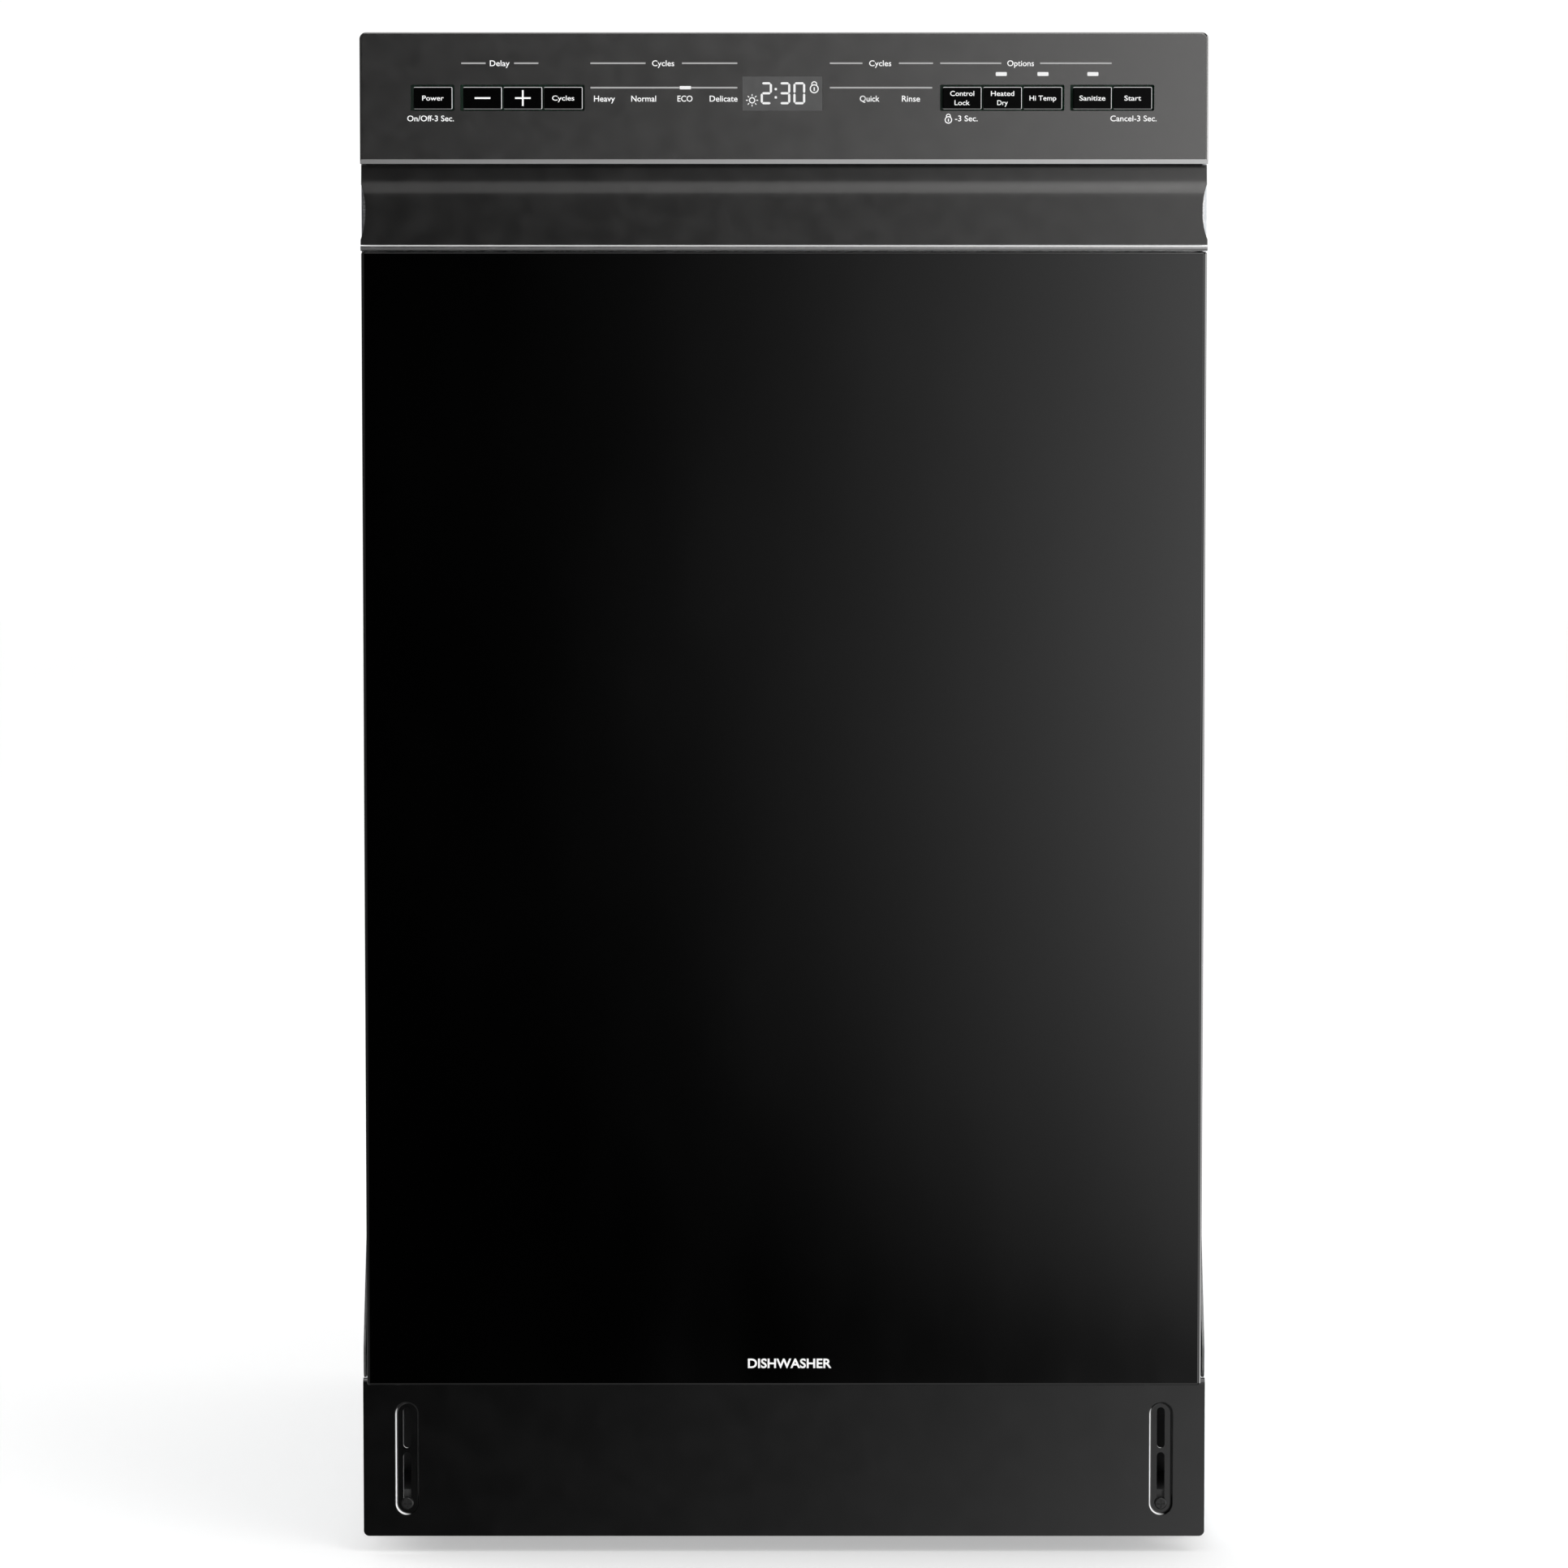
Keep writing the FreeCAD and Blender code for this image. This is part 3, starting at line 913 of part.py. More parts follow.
def handle_scoop():
    """Finger grip: a sloping face with a soft step, a pocket behind the fascia and a bead along its foot."""
    half, wall = DOOR_W / 2, 2.0
    foot_z, head_z = SCOOP_BOTTOM, 768.0
    bead_y, bead_z, bead_r = FRONT + 1.9, SCOOP_BOTTOM + 1.7, 1.6
    fascia_back = FRONT + FASCIA_WALL + 0.2
    slope_foot, step_foot = (-298.6, bead_z + 1.3), (-294.29, 728.4)
    step_head, slope_head = (-291.35, 735.0), (-290.19, 746.0)
    deep_y, deep_z = -276.9, 757.15
    front_line = [slope_foot, step_foot, step_head, slope_head, (deep_y, deep_z), (deep_y, head_z - wall)]
    head_line = [(fascia_back, head_z - wall), (fascia_back, head_z), (deep_y + wall, head_z)]
    rear_line = [(deep_y + wall, 756.22), (-288.29, 744.99), (-289.39, 734.48), (-292.36, 727.83)]
    foot_line = [(-296.4, foot_z + wall), (-285, foot_z + wall), (-285, foot_z), (slope_foot[0], foot_z)]
    outline = front_line + head_line + rear_line + foot_line
    grip = prism_x(outline, -half, half)
    grip = rounded(grip, 20, X_AXIS, lambda p: p.y < -290.5 and 727 < p.z < 736)
    grip = rounded(grip, 5, X_AXIS, lambda p: p.y < -289 and 745.5 < p.z < 747)
    grip = rounded(grip, 10, X_AXIS, lambda p: p.y > -280 and 755 < p.z < 758)
    bead = rod((-half, bead_y, bead_z), (half, bead_y, bead_z), bead_r)
    grip = fuse(grip, bead)
    grip = grip.cut(box(-230, -half + 2.5, -310, -250, FASCIA_BOTTOM - 0.4, 780))
    grip = grip.cut(box(half - 2.5, 230, -310, -250, FASCIA_BOTTOM - 0.4, 780))
    bite_low, bite_high, bite_depth = 704.0, 733.0, 2.6
    middle = (bite_low + bite_high) / 2
    chord = (bite_high - bite_low) / 2
    bite_r = (chord ** 2 + bite_depth ** 2) / (2 * bite_depth)
    for side in (-1, 1):
        x = side * (half + bite_r - bite_depth)
        grip = grip.cut(rod((x, FRONT - 2, middle), (x, -270, middle), bite_r))
    return grip


def hinge_arms():
    """Steel arms inside the door's edges. Each turns on the cabinet's pin and pulls its spring cord."""
    outline = [
        (-292, 99), (-292, 262), (-266, 262), (-266, 120), (-259, 114),
        (-243, 114), (-243, 62), (-255, 62), (-255, 99),
    ]
    arm = prism_x(outline, 215.0, 218.0)
    arm = rounded(arm, 4, X_AXIS, lambda p: p.z > 250 or p.z < 70 or p.y < -290)
    arm = arm.cut(rod((214, HINGE_Y, HINGE_Z), (219, HINGE_Y, HINGE_Z), 4.06))
    return both_sides(arm)


def latch_catch():
    """Forked catch that closes over the tongue."""
    cheeks = []
    for x0 in (-13.4, 11.4):
        cheek = rod((x0, LATCH_Y, LATCH_Z), (x0 + 2, LATCH_Y, LATCH_Z), 8.0)
        cheek = cheek.cut(box(x0 - 1, x0 + 3, LATCH_Y + 4, LATCH_Y + 10, LATCH_Z - 2, LATCH_Z + 2))
        bore = rod((x0 - 1, LATCH_Y, LATCH_Z), (x0 + 3, LATCH_Y, LATCH_Z), LATCH_PIN_R + 0.06)
        cheeks.append(cheek.cut(bore))
    bridge = rod((-12, LATCH_Y - 6, LATCH_Z), (12, LATCH_Y - 6, LATCH_Z), 1.8)
    return fuse(*cheeks, bridge)


def dispenser_body():
    """Detergent dispenser set in the liner: a flanged box with an open powder cup and a filler neck."""
    x0, x1, z0, z1 = DISPENSER
    face = LINER_Y - RECESS_DEPTH
    flange = soft_box(x0, x1, face, face + 2, z0, z1, 10, Y_AXIS)
    body = soft_box(x0 + 6, x1 - 6, face - 22, face + 1, z0 + 6, z1 - 6, 6, Y_AXIS)
    cup = soft_box(LID[0] + 4, LID[1] - 4, face - 18, face + 3, LID[2] + 4, LID[3] - 4, 8, Y_AXIS)
    neck = rod((CAP_X, face - 8, CAP_Z), (CAP_X, face + 3, CAP_Z), 10.58)
    dose = soft_box(-52, -4, face - 6, face + 3, 350, 400, 8, Y_AXIS)
    tray = fuse(flange, body).cut(Part.makeCompound([cup, neck, dose]))
    guides = []
    for edge, side in ((LID[0], -1), (LID[1], 1)):
        low, high = sorted((edge + side * 0.4, edge + side * 3.4))
        guides.append(box(low, high, face + 1, face + 5.8, DISPENSER[2] + 8, DISPENSER[3] - 10))
        low, high = sorted((edge - side * 1.2, edge + side * 3.4))
        guides.append(box(low, high, face + 4.8, face + 5.8, DISPENSER[2] + 8, DISPENSER[3] - 10))
    return fuse(tray, *guides)


def dispenser_lid():
    """Sliding lid with a finger ridge."""
    x0, x1, z0, z1 = LID
    face = LINER_Y - RECESS_DEPTH + 2.2
    lid = soft_box(x0, x1, face, face + 2.2, z0, z1, 8, Y_AXIS)
    ridges = [box(x0 + 14, x1 - 14, face + 2, face + 3.8, z0 + 8 + 5 * k, z0 + 10 + 5 * k) for k in range(3)]
    return fuse(lid, *ridges)


def rinse_cap():
    """Quarter-turn cap with a grip bar."""
    face = LINER_Y - RECESS_DEPTH + 2.1
    disc = rod((CAP_X, face, CAP_Z), (CAP_X, face + 3, CAP_Z), 17)
    plug = rod((CAP_X, face - 6, CAP_Z), (CAP_X, face + 1, CAP_Z), 10.5)
    grip = box(CAP_X - 13, CAP_X + 13, face + 2.5, face + 7, CAP_Z - 2.5, CAP_Z + 2.5)
    return fuse(disc, plug, grip)


# ---- everything ---------------------------------------------------------------------------
def main():
    os.makedirs("parts", exist_ok=True)
    save("base_tray", base_tray())
    save("kick_plate", kick_plate())
    save("kick_screws", *kick_screws())
    save("side_panel_right", side_panel())
    save("side_panel_left", mirrored(side_panel()))
    save("sound_blanket", sound_blanket())
    save("worktop_brackets", *worktop_brackets())
    save("hinge_brackets", *hinge_brackets())
    save("door_springs", *door_springs())
    for name, place in FOOT_PLACES.items():
        save(name, foot(*place))
    save("tub", tub())
    save("tub_gasket", tub_gasket())
    save("latch_strike", latch_strike())
    save("sump", sump())
    save("filter_plate", filter_plate())
    save("filter_cup", filter_cup())
    save("heating_element", heating_element())
    save("float_cap", float_cap())
    save("feed_pipe", feed_pipe())
    save("lower_spray_arm", spray_arm(170, 40, 24, 143, 11, 19, 137, 158, 6.0))
    save("upper_spray_arm", spray_arm(164, 34, 20, 423, 9, 15, 421, 436.5, 6.0))
    save("ceiling_sprayer", spray_arm(62, 24, 16, 752, 7, 13, 750, 764, 6.0))
    save("rack_manifold", rack_manifold())
    save("wash_pump", *wash_pump())
    save("pump_impeller", pump_impeller())
    save("drain_pump", drain_pump())
    save("inlet_valve", inlet_valve())
    save("internal_hoses", *internal_hoses())
    save("air_break_tank", air_break_tank())
    save("junction_box", *junction_box())
    save("upper_rack", *upper_rack())
    save("upper_rails", *upper_rails())
    save("rail_rollers", *rail_rollers())
    save("cup_shelf", *cup_shelf())
    save("lower_rack", *lower_rack())
    save("rack_wheels_front", *wheel_pair(WHEEL_YS[0]))
    save("rack_wheels_rear", *wheel_pair(WHEEL_YS[1]))
    save("cutlery_basket", cutlery_basket())
    save("door_panel", door_panel())
    save("door_liner", door_liner())
    save("control_fascia", control_fascia())
    for name, x in key_centres():
        save(f"key_{name}", key(x))
    save("display_window", display_window())
    save("control_board", *control_board())
    save("handle_scoop", handle_scoop())
    save("hinge_arms", *hinge_arms())
    save("latch_catch", latch_catch())
    save("dispenser_body", dispenser_body())
    save("dispenser_lid", dispenser_lid())
    save("rinse_cap", rinse_cap())


main()
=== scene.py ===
import json
import math

import bmesh
import bpy
from mathutils import Matrix, Vector, noise


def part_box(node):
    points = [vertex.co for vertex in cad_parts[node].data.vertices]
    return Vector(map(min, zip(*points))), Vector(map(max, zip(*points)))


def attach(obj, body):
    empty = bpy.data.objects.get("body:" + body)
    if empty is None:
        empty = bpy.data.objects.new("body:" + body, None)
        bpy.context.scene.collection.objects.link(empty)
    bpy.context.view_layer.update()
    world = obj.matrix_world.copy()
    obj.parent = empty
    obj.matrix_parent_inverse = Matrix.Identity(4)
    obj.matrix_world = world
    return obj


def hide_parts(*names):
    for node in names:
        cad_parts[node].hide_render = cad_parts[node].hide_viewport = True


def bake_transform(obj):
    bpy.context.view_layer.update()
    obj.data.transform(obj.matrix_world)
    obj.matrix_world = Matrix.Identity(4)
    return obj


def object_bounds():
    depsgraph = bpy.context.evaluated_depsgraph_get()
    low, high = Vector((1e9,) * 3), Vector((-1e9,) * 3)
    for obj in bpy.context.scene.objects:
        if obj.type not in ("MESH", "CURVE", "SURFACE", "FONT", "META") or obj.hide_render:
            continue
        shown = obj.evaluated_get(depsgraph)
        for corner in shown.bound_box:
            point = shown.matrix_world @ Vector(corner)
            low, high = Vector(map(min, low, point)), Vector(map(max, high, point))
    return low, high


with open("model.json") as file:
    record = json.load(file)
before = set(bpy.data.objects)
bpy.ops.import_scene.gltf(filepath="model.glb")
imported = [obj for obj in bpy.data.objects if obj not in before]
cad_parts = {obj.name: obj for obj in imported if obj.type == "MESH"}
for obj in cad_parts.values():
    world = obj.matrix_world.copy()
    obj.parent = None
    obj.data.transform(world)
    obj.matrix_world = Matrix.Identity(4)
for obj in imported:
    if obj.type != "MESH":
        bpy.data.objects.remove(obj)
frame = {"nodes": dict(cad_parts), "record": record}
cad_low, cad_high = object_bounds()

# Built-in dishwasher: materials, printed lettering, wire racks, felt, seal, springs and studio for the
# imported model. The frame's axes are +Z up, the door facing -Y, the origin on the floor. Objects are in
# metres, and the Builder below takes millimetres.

scene = bpy.context.scene
MM = 0.001
INK_THICKNESS = 0.05 * MM
PROUD = 0.02        # mm that printing starts in front of the face it is on

# Places that bound the painted shade and the painted highlights on the front, in metres.
fascia_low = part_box("control_fascia")[0]
key_low, key_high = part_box("key_power")
LIP_LOW = fascia_low.z - 1 * MM
BEAD_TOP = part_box("handle_scoop")[0].z + 3.3 * MM
WELL_FRONT, WELL_BACK = fascia_low.y + 0.25 * MM, fascia_low.y + 6.5 * MM
WELL_LOW, WELL_HIGH = key_low.z - 2 * MM, key_high.z + 2.5 * MM
WELL_OUTER = 0.2
KICK_SLOT_OUTER, KICK_SLOT_TOP = 0.212, 0.084


# ---- node materials -----------------------------------------------------------------------
class Graph:
    """Adds nodes to the node tree of a material or of the world. Inputs are other nodes' outputs or values."""

    def __init__(self, tree):
        self.tree = tree

    def node(self, kind, inputs=(), **settings):
        made = self.tree.nodes.new("ShaderNode" + kind)
        for key, value in settings.items():
            setattr(made, key, value)
        for key, value in dict(inputs).items():
            if isinstance(value, bpy.types.NodeSocket):
                self.tree.links.new(value, made.inputs[key])
            else:
                made.inputs[key].default_value = value
        return made

    def math(self, operation, a, b=0.0, c=0.0):
        return self.node("Math", dict(enumerate((a, b, c))), operation=operation).outputs[0]

    def ramp(self, value, low, high, to_low=0.0, to_high=1.0):
        """Eases from to_low to to_high while the value goes from low to high."""
        inputs = dict(enumerate((value, low, high, to_low, to_high)))
        return self.node("MapRange", inputs, interpolation_type="SMOOTHSTEP").outputs[0]


class Finish(Graph):
    """A node material: one Principled shader, and the procedural detail that is wired into it."""

    def __init__(self, name, colour, roughness, metallic=0.0, **sockets):
        self.material = bpy.data.materials.new(name)
        self.material.use_nodes = True
        super().__init__(self.material.node_tree)
        self.shader = self.tree.nodes["Principled BSDF"]
        self.shader.inputs["Base Color"].default_value = (*colour, 1)
        self.shader.inputs["Roughness"].default_value = roughness
        self.shader.inputs["Metallic"].default_value = metallic
        for socket, value in sockets.items():
            self.shader.inputs[socket.replace("_", " ")].default_value = value
        self.place = self.tree.nodes.new("ShaderNodeTexCoord")

    def spot(self, stretch=(1, 1, 1)):
        """Object coordinates in metres, stretched along the axes."""
        return self.node("Mapping", {"Vector": self.place.outputs["Object"], "Scale": stretch}).outputs[0]

    def noise(self, scale, detail=3.0, stretch=(1, 1, 1)):
        inputs = {"Vector": self.spot(stretch), "Scale": scale, "Detail": detail}
        return self.node("TexNoise", inputs).outputs["Fac"]

    def cells(self, scale, output="Distance"):
        return self.node("TexVoronoi", {"Vector": self.spot(), "Scale": scale}).outputs[output]

    def ranged(self, fac, low, high, from_low=0.3, from_high=0.7):
        inputs = {"Value": fac, "From Min": from_low, "From Max": from_high, "To Min": low, "To Max": high}
        return self.node("MapRange", inputs).outputs[0]

    def parts(self, kind):
        """The x, y and z of a texture coordinate, such as Object or Normal."""
        return self.node("SeparateXYZ", {0: self.place.outputs[kind]}).outputs

    def between(self, value, low, high):
        """1 where the value lies between low and high, and 0 elsewhere."""
        above = self.math("GREATER_THAN", value, low)
        return self.math("MULTIPLY", above, self.math("LESS_THAN", value, high))

    def both(self, a, b):
        return self.math("MULTIPLY", a, b)

    def mixed(self, fac, low, high):
        """A colour between low and high. Either may be a colour or another node's output."""
        made = self.node("Mix", data_type="RGBA")
        self.tree.links.new(fac, made.inputs["Factor"])
        for key, value in ((6, low), (7, high)):
            if isinstance(value, bpy.types.NodeSocket):
                self.tree.links.new(value, made.inputs[key])
            else:
                made.inputs[key].default_value = (*value, 1)
        return made.outputs[2]

    def feed(self, socket, output):
        self.tree.links.new(output, self.shader.inputs[socket])
        return self

    def tint(self, fac, low, high):
        return self.feed("Base Color", self.mixed(fac, low, high))

    def rough(self, fac, low, high):
        return self.feed("Roughness", self.ranged(fac, low, high))

    def bump(self, height, depth, strength=1.0):
        """Raises the surface by height times depth, which is in metres, on top of any bump before it."""
        made = self.node("Bump", {"Height": height, "Distance": depth, "Strength": strength})
        before = self.shader.inputs["Normal"].links
        if before:
            self.tree.links.new(before[0].from_socket, made.inputs["Normal"])
        return self.feed("Normal", made.outputs[0])


def grey(level, warm=0.0):
    """A grey of that brightness, tipped by warm towards red and away from blue."""
    return (level * (1 + warm), level, level * (1 - warm))


def moulded(name, colour, roughness, grain=0.00004, spread=0.06, scale=2200):
    """Moulded plastic: fine spark-eroded grain, with slow drift in tone and in gloss."""
    made = Finish(name, colour, roughness)
    slow = made.noise(9, 4)
    made.tint(slow, [c * (1 - spread) for c in colour], [c * (1 + spread) for c in colour])
    made.rough(made.noise(60, 4), roughness - 0.05, roughness + 0.06)
    return made.bump(made.noise(scale, 2), grain)


def brushed(name, colour, roughness, along=(1, 1, 60), depth=0.000012):
    """Brushed sheet: long fine scratches that break up the tone, the gloss and the surface."""
    made = Finish(name, colour, roughness, 1.0)
    scratch = made.noise(160, 6, along)
    made.tint(scratch, [c * 0.86 for c in colour], [min(c * 1.12, 1) for c in colour])
    made.rough(scratch, roughness - 0.06, roughness + 0.08)
    return made.bump(scratch, depth)


def panel_gloss():
    """Gloss black enamel: a barely uneven skin with a little dust and smear in its gloss."""
    made = Finish("panel_gloss", grey(0.0003), 0.06, IOR=1.5)
    smear = made.noise(14, 6, (1, 1, 0.5))
    made.rough(smear, 0.045, 0.085)
    made.tint(made.noise(900, 2), grey(0.0002), grey(0.0004))
    return made.bump(made.noise(120, 2), 0.0000004)


def fascia_paint():
    """Dark metallic paint with fine flake, with painted shade that darkens the grip and blacks out the key
    wells, and painted highlights of bright metal on the lower lip and on the grip's bead."""
    made = Finish("fascia_paint", grey(0.10), 0.20, 0.9)
    flake = made.cells(2600, output="Color")
    open_paint = made.mixed(flake, grey(0.084, 0.012), grey(0.103, 0.012))
    # Painted shade: the grip's recessed faces get darker paint for the shade under the fascia.
    grip_painted_shade = made.mixed(flake, grey(0.046, 0.012), grey(0.056, 0.012))
    well_painted_shade, lip_painted_highlight, bead_painted_highlight = grey(0.004), grey(0.60), grey(0.30)
    x, y, z = made.parts("Object")
    _, facing_y, facing_z = made.parts("Normal")

    # Painted highlight: the lower lip's faces that point down and forward, and the grip's bead, get bright
    # metal colour so their reflections show as highlight lines.
    down = made.ranged(facing_z, 0, 1, -0.2, -0.45)
    forward = made.ranged(facing_y, 0, 1, -0.3, -0.45)
    lip = made.both(made.both(down, forward), made.math("GREATER_THAN", z, LIP_LOW))
    bead = made.math("LESS_THAN", z, BEAD_TOP)
    grip = made.both(made.math("GREATER_THAN", y, WELL_FRONT), made.math("LESS_THAN", z, LIP_LOW))
    # Painted shade: the key wells' recessed faces are painted near black for the shade between the keys.
    well = made.both(made.between(y, WELL_FRONT, WELL_BACK), made.between(z, WELL_LOW, WELL_HIGH))
    well = made.both(well, made.between(x, -WELL_OUTER, WELL_OUTER))

    paint = made.mixed(well, made.mixed(grip, open_paint, grip_painted_shade), well_painted_shade)
    # Painted highlights on the lip and the bead, over the paint with its painted shade.
    made.tint(bead, made.mixed(lip, paint, lip_painted_highlight), bead_painted_highlight)
    bright = made.math("MAXIMUM", lip, bead)
    made.feed("Roughness", made.ranged(made.noise(90, 3), 0.18, 0.22))
    made.feed("Metallic", made.ranged(bright, 0.9, 1.0, 0, 1))
    return made.bump(flake, 0.000001)


def kick_paint():
    """Satin black powder coat with a fine pebbled skin, and a glowing painted highlight round each slot's lower
    left.
    """
    made = Finish("kick_paint", grey(0.0006), 0.16, IOR=1.47, Emission_Strength=0.5)
    x, _, z = made.parts("Object")
    facing_x, facing_y, facing_z = made.parts("Normal")
    # Painted highlight: slot edges facing up and to the right are painted near white and made to glow.
    edge = made.ranged(made.math("ABSOLUTE", facing_y), 0, 1, 0.97, 0.80)
    turned = made.math("MULTIPLY_ADD", facing_z, 0.75, facing_x)
    slot_painted_highlight = made.both(edge, made.ranged(turned, 0, 1, 0.35, 0.9))
    inside = made.between(x, -KICK_SLOT_OUTER, KICK_SLOT_OUTER)
    slot_painted_highlight = made.both(slot_painted_highlight, made.both(inside, made.math("LESS_THAN", z, KICK_SLOT_TOP)))
    skin = made.mixed(made.noise(30, 5), grey(0.0004), grey(0.0008))
    made.tint(slot_painted_highlight, skin, grey(0.85))
    made.feed("Emission Color", made.mixed(slot_painted_highlight, grey(0.0), grey(0.8)))
    made.rough(made.noise(80, 4), 0.15, 0.17)
    return made.bump(made.noise(900, 2), 0.0000006)


def key_gloss():
    """Gloss black key with a glowing painted highlight on its eased edge above and at the right, and finger
    marks.
    """
    made = Finish("key_gloss", grey(0.0015), 0.10, Specular_IOR_Level=0.04, Emission_Strength=0.55)
    facing_x, facing_y, facing_z = made.parts("Normal")
    # Painted highlight: the eased edge is painted near white and made to glow where it faces up or right,
    # dimmer where it faces down.
    edge = made.ranged(made.math("ABSOLUTE", facing_y), 1, 0, 0.80, 0.97)
    lit = made.math("MAXIMUM", facing_z, facing_x)
    lit = made.math("MAXIMUM", lit, made.math("MULTIPLY", facing_z, -0.45))
    edge = made.both(edge, made.ranged(lit, 0, 1, 0.15, 0.75))
    made.tint(edge, grey(0.0015), grey(0.80))
    made.feed("Emission Color", made.mixed(edge, grey(0.0), grey(0.9)))
    made.feed("Roughness", made.ranged(made.noise(260, 4), 0.07, 0.16))
    return made


def display_tint():
    """Smoked window: one tone lighter than the panel, with a fine diffusing film behind it."""
    made = Finish("display_tint", grey(0.085), 0.16)
    film = made.noise(1500, 2)
    made.tint(film, grey(0.078), grey(0.092))
    return made.rough(made.noise(200, 3), 0.12, 0.22)


def galvanised():
    """Zinc-coated sheet: crystalline spangle in tone and gloss."""
    made = Finish("galvanised", grey(0.52), 0.42, 1.0)
    spangle = made.cells(330, output="Color")
    made.tint(spangle, (0.50, 0.52, 0.54), (0.60, 0.62, 0.64))
    made.feed("Roughness", made.ranged(spangle, 0.38, 0.46, 0, 1))
    return made.bump(made.noise(900, 3), 0.000008)


def hinge_steel():
    """Phosphated steel of the hinge brackets: dark grey with a crystalline bloom."""
    made = Finish("hinge_steel", grey(0.16), 0.5, 1.0)
    bloom = made.cells(260, output="Color")
    made.tint(bloom, grey(0.12), grey(0.20))
    made.feed("Roughness", made.ranged(bloom, 0.44, 0.58, 0, 1))
    return made.bump(made.noise(900, 3), 0.000008)


def felt():
    """Needled recycled felt: matted fibres with pale and dark flecks."""
    made = Finish("felt", grey(0.09), 0.95, Sheen_Weight=0.35, Sheen_Roughness=0.6)
    fibre = made.noise(900, 8, (1, 3, 1))
    fleck = made.ranged(made.cells(420), 1, 0, 0.05, 0.22)
    tone = made.mixed(made.ranged(fibre, 0, 1, 0.35, 0.65), grey(0.045, 0.05), grey(0.14, 0.05))
    made.tint(fleck, tone, grey(0.30, 0.08))
    return made.bump(fibre, 0.0006).bump(made.noise(160, 4), 0.0009)


def rubber():
    """Soft black elastomer with a bloom on its skin."""
    made = Finish("rubber", grey(0.022), 0.62)
    made.tint(made.noise(45, 5), grey(0.016), grey(0.034))
    made.rough(made.noise(120, 3), 0.52, 0.72)
    return made.bump(made.noise(1400, 2), 0.00001)


def rack_coating():
    """Nylon dip coating over wire: soft skin with slight runs."""
    made = Finish("rack_coating", (0.36, 0.375, 0.395), 0.38, Coat_Weight=0.25, Coat_Roughness=0.3)
    made.tint(made.noise(25, 4), (0.32, 0.335, 0.355), (0.40, 0.415, 0.435))
    made.rough(made.noise(90, 3), 0.30, 0.46)
    return made.bump(made.noise(260, 2), 0.00003)


def plated():
    """Bright zinc or nickel plate with faint drawing lines."""
    made = Finish("plated", grey(0.70), 0.22, 1.0)
    line = made.noise(120, 4, (1, 0.03, 8))
    made.tint(line, grey(0.60), grey(0.76))
    return made.rough(line, 0.16, 0.30)


def heater_steel():
    """Heater sheath: steel that has gone straw and brown with heat."""
    made = Finish("heater_steel", (0.34, 0.29, 0.24), 0.36, 1.0)
    made.tint(made.noise(18, 4), (0.40, 0.36, 0.32), (0.26, 0.19, 0.13))
    return made.rough(made.noise(200, 4), 0.28, 0.48).bump(made.noise(1200, 2), 0.00001)


def spring_steel():
    """Oiled spring wire."""
    made = Finish("spring_steel", grey(0.34), 0.30, 1.0)
    made.tint(made.noise(60, 4), grey(0.26), grey(0.42))
    return made.rough(made.noise(220, 3), 0.22, 0.42)


def circuit_board():
    """Solder mask over copper tracks."""
    made = Finish("circuit_board", (0.01, 0.09, 0.045), 0.34)
    bricks = made.node("TexBrick", {"Vector": made.spot(), "Scale": 160.0, "Mortar Size": 0.06})
    track = bricks.outputs["Fac"]
    made.tint(track, (0.010, 0.085, 0.04), (0.02, 0.16, 0.075))
    return made.bump(track, 0.00003)


def white_ink():
    """Screen-printed white, a little thin in places, with a faint painted glow of its own."""
    made = Finish("white_ink", grey(0.86), 0.55, Specular_IOR_Level=0.3, Emission_Strength=0.22)
    made.tint(made.noise(3000, 2), grey(0.82), grey(0.90))
    # Painted glow: the ink emits a faint light of its own.
    return made.feed("Emission Color", made.mixed(made.noise(3000, 2), grey(0.92), grey(1.0)))


def grey_ink():
    """Screen-printed light grey for the rules."""
    made = Finish("grey_ink", grey(0.42), 0.55, Specular_IOR_Level=0.3)
    made.tint(made.noise(3000, 2), grey(0.38), grey(0.48))
    return made


def lit_segment():
    """Display segment or lamp that is on: bright, with a slight falloff in its film."""
    made = Finish("lit_segment", grey(0.8), 0.5, Emission_Strength=0.14)
    made.tint(made.noise(1800, 2), grey(0.74), grey(0.84))
    return made.feed("Emission Color", made.mixed(made.noise(900, 2), grey(0.85), grey(1.0)))


def spring_cord():
    """Braided polyester cord."""
    made = Finish("spring_cord", grey(0.55), 0.8)
    wave = made.node("TexWave", {"Vector": made.spot(), "Scale": 500.0, "Distortion": 2.0})
    braid = wave.outputs["Fac"]
    return made.tint(braid, grey(0.40, 0.04), grey(0.66, 0.04)).bump(braid, 0.0002)


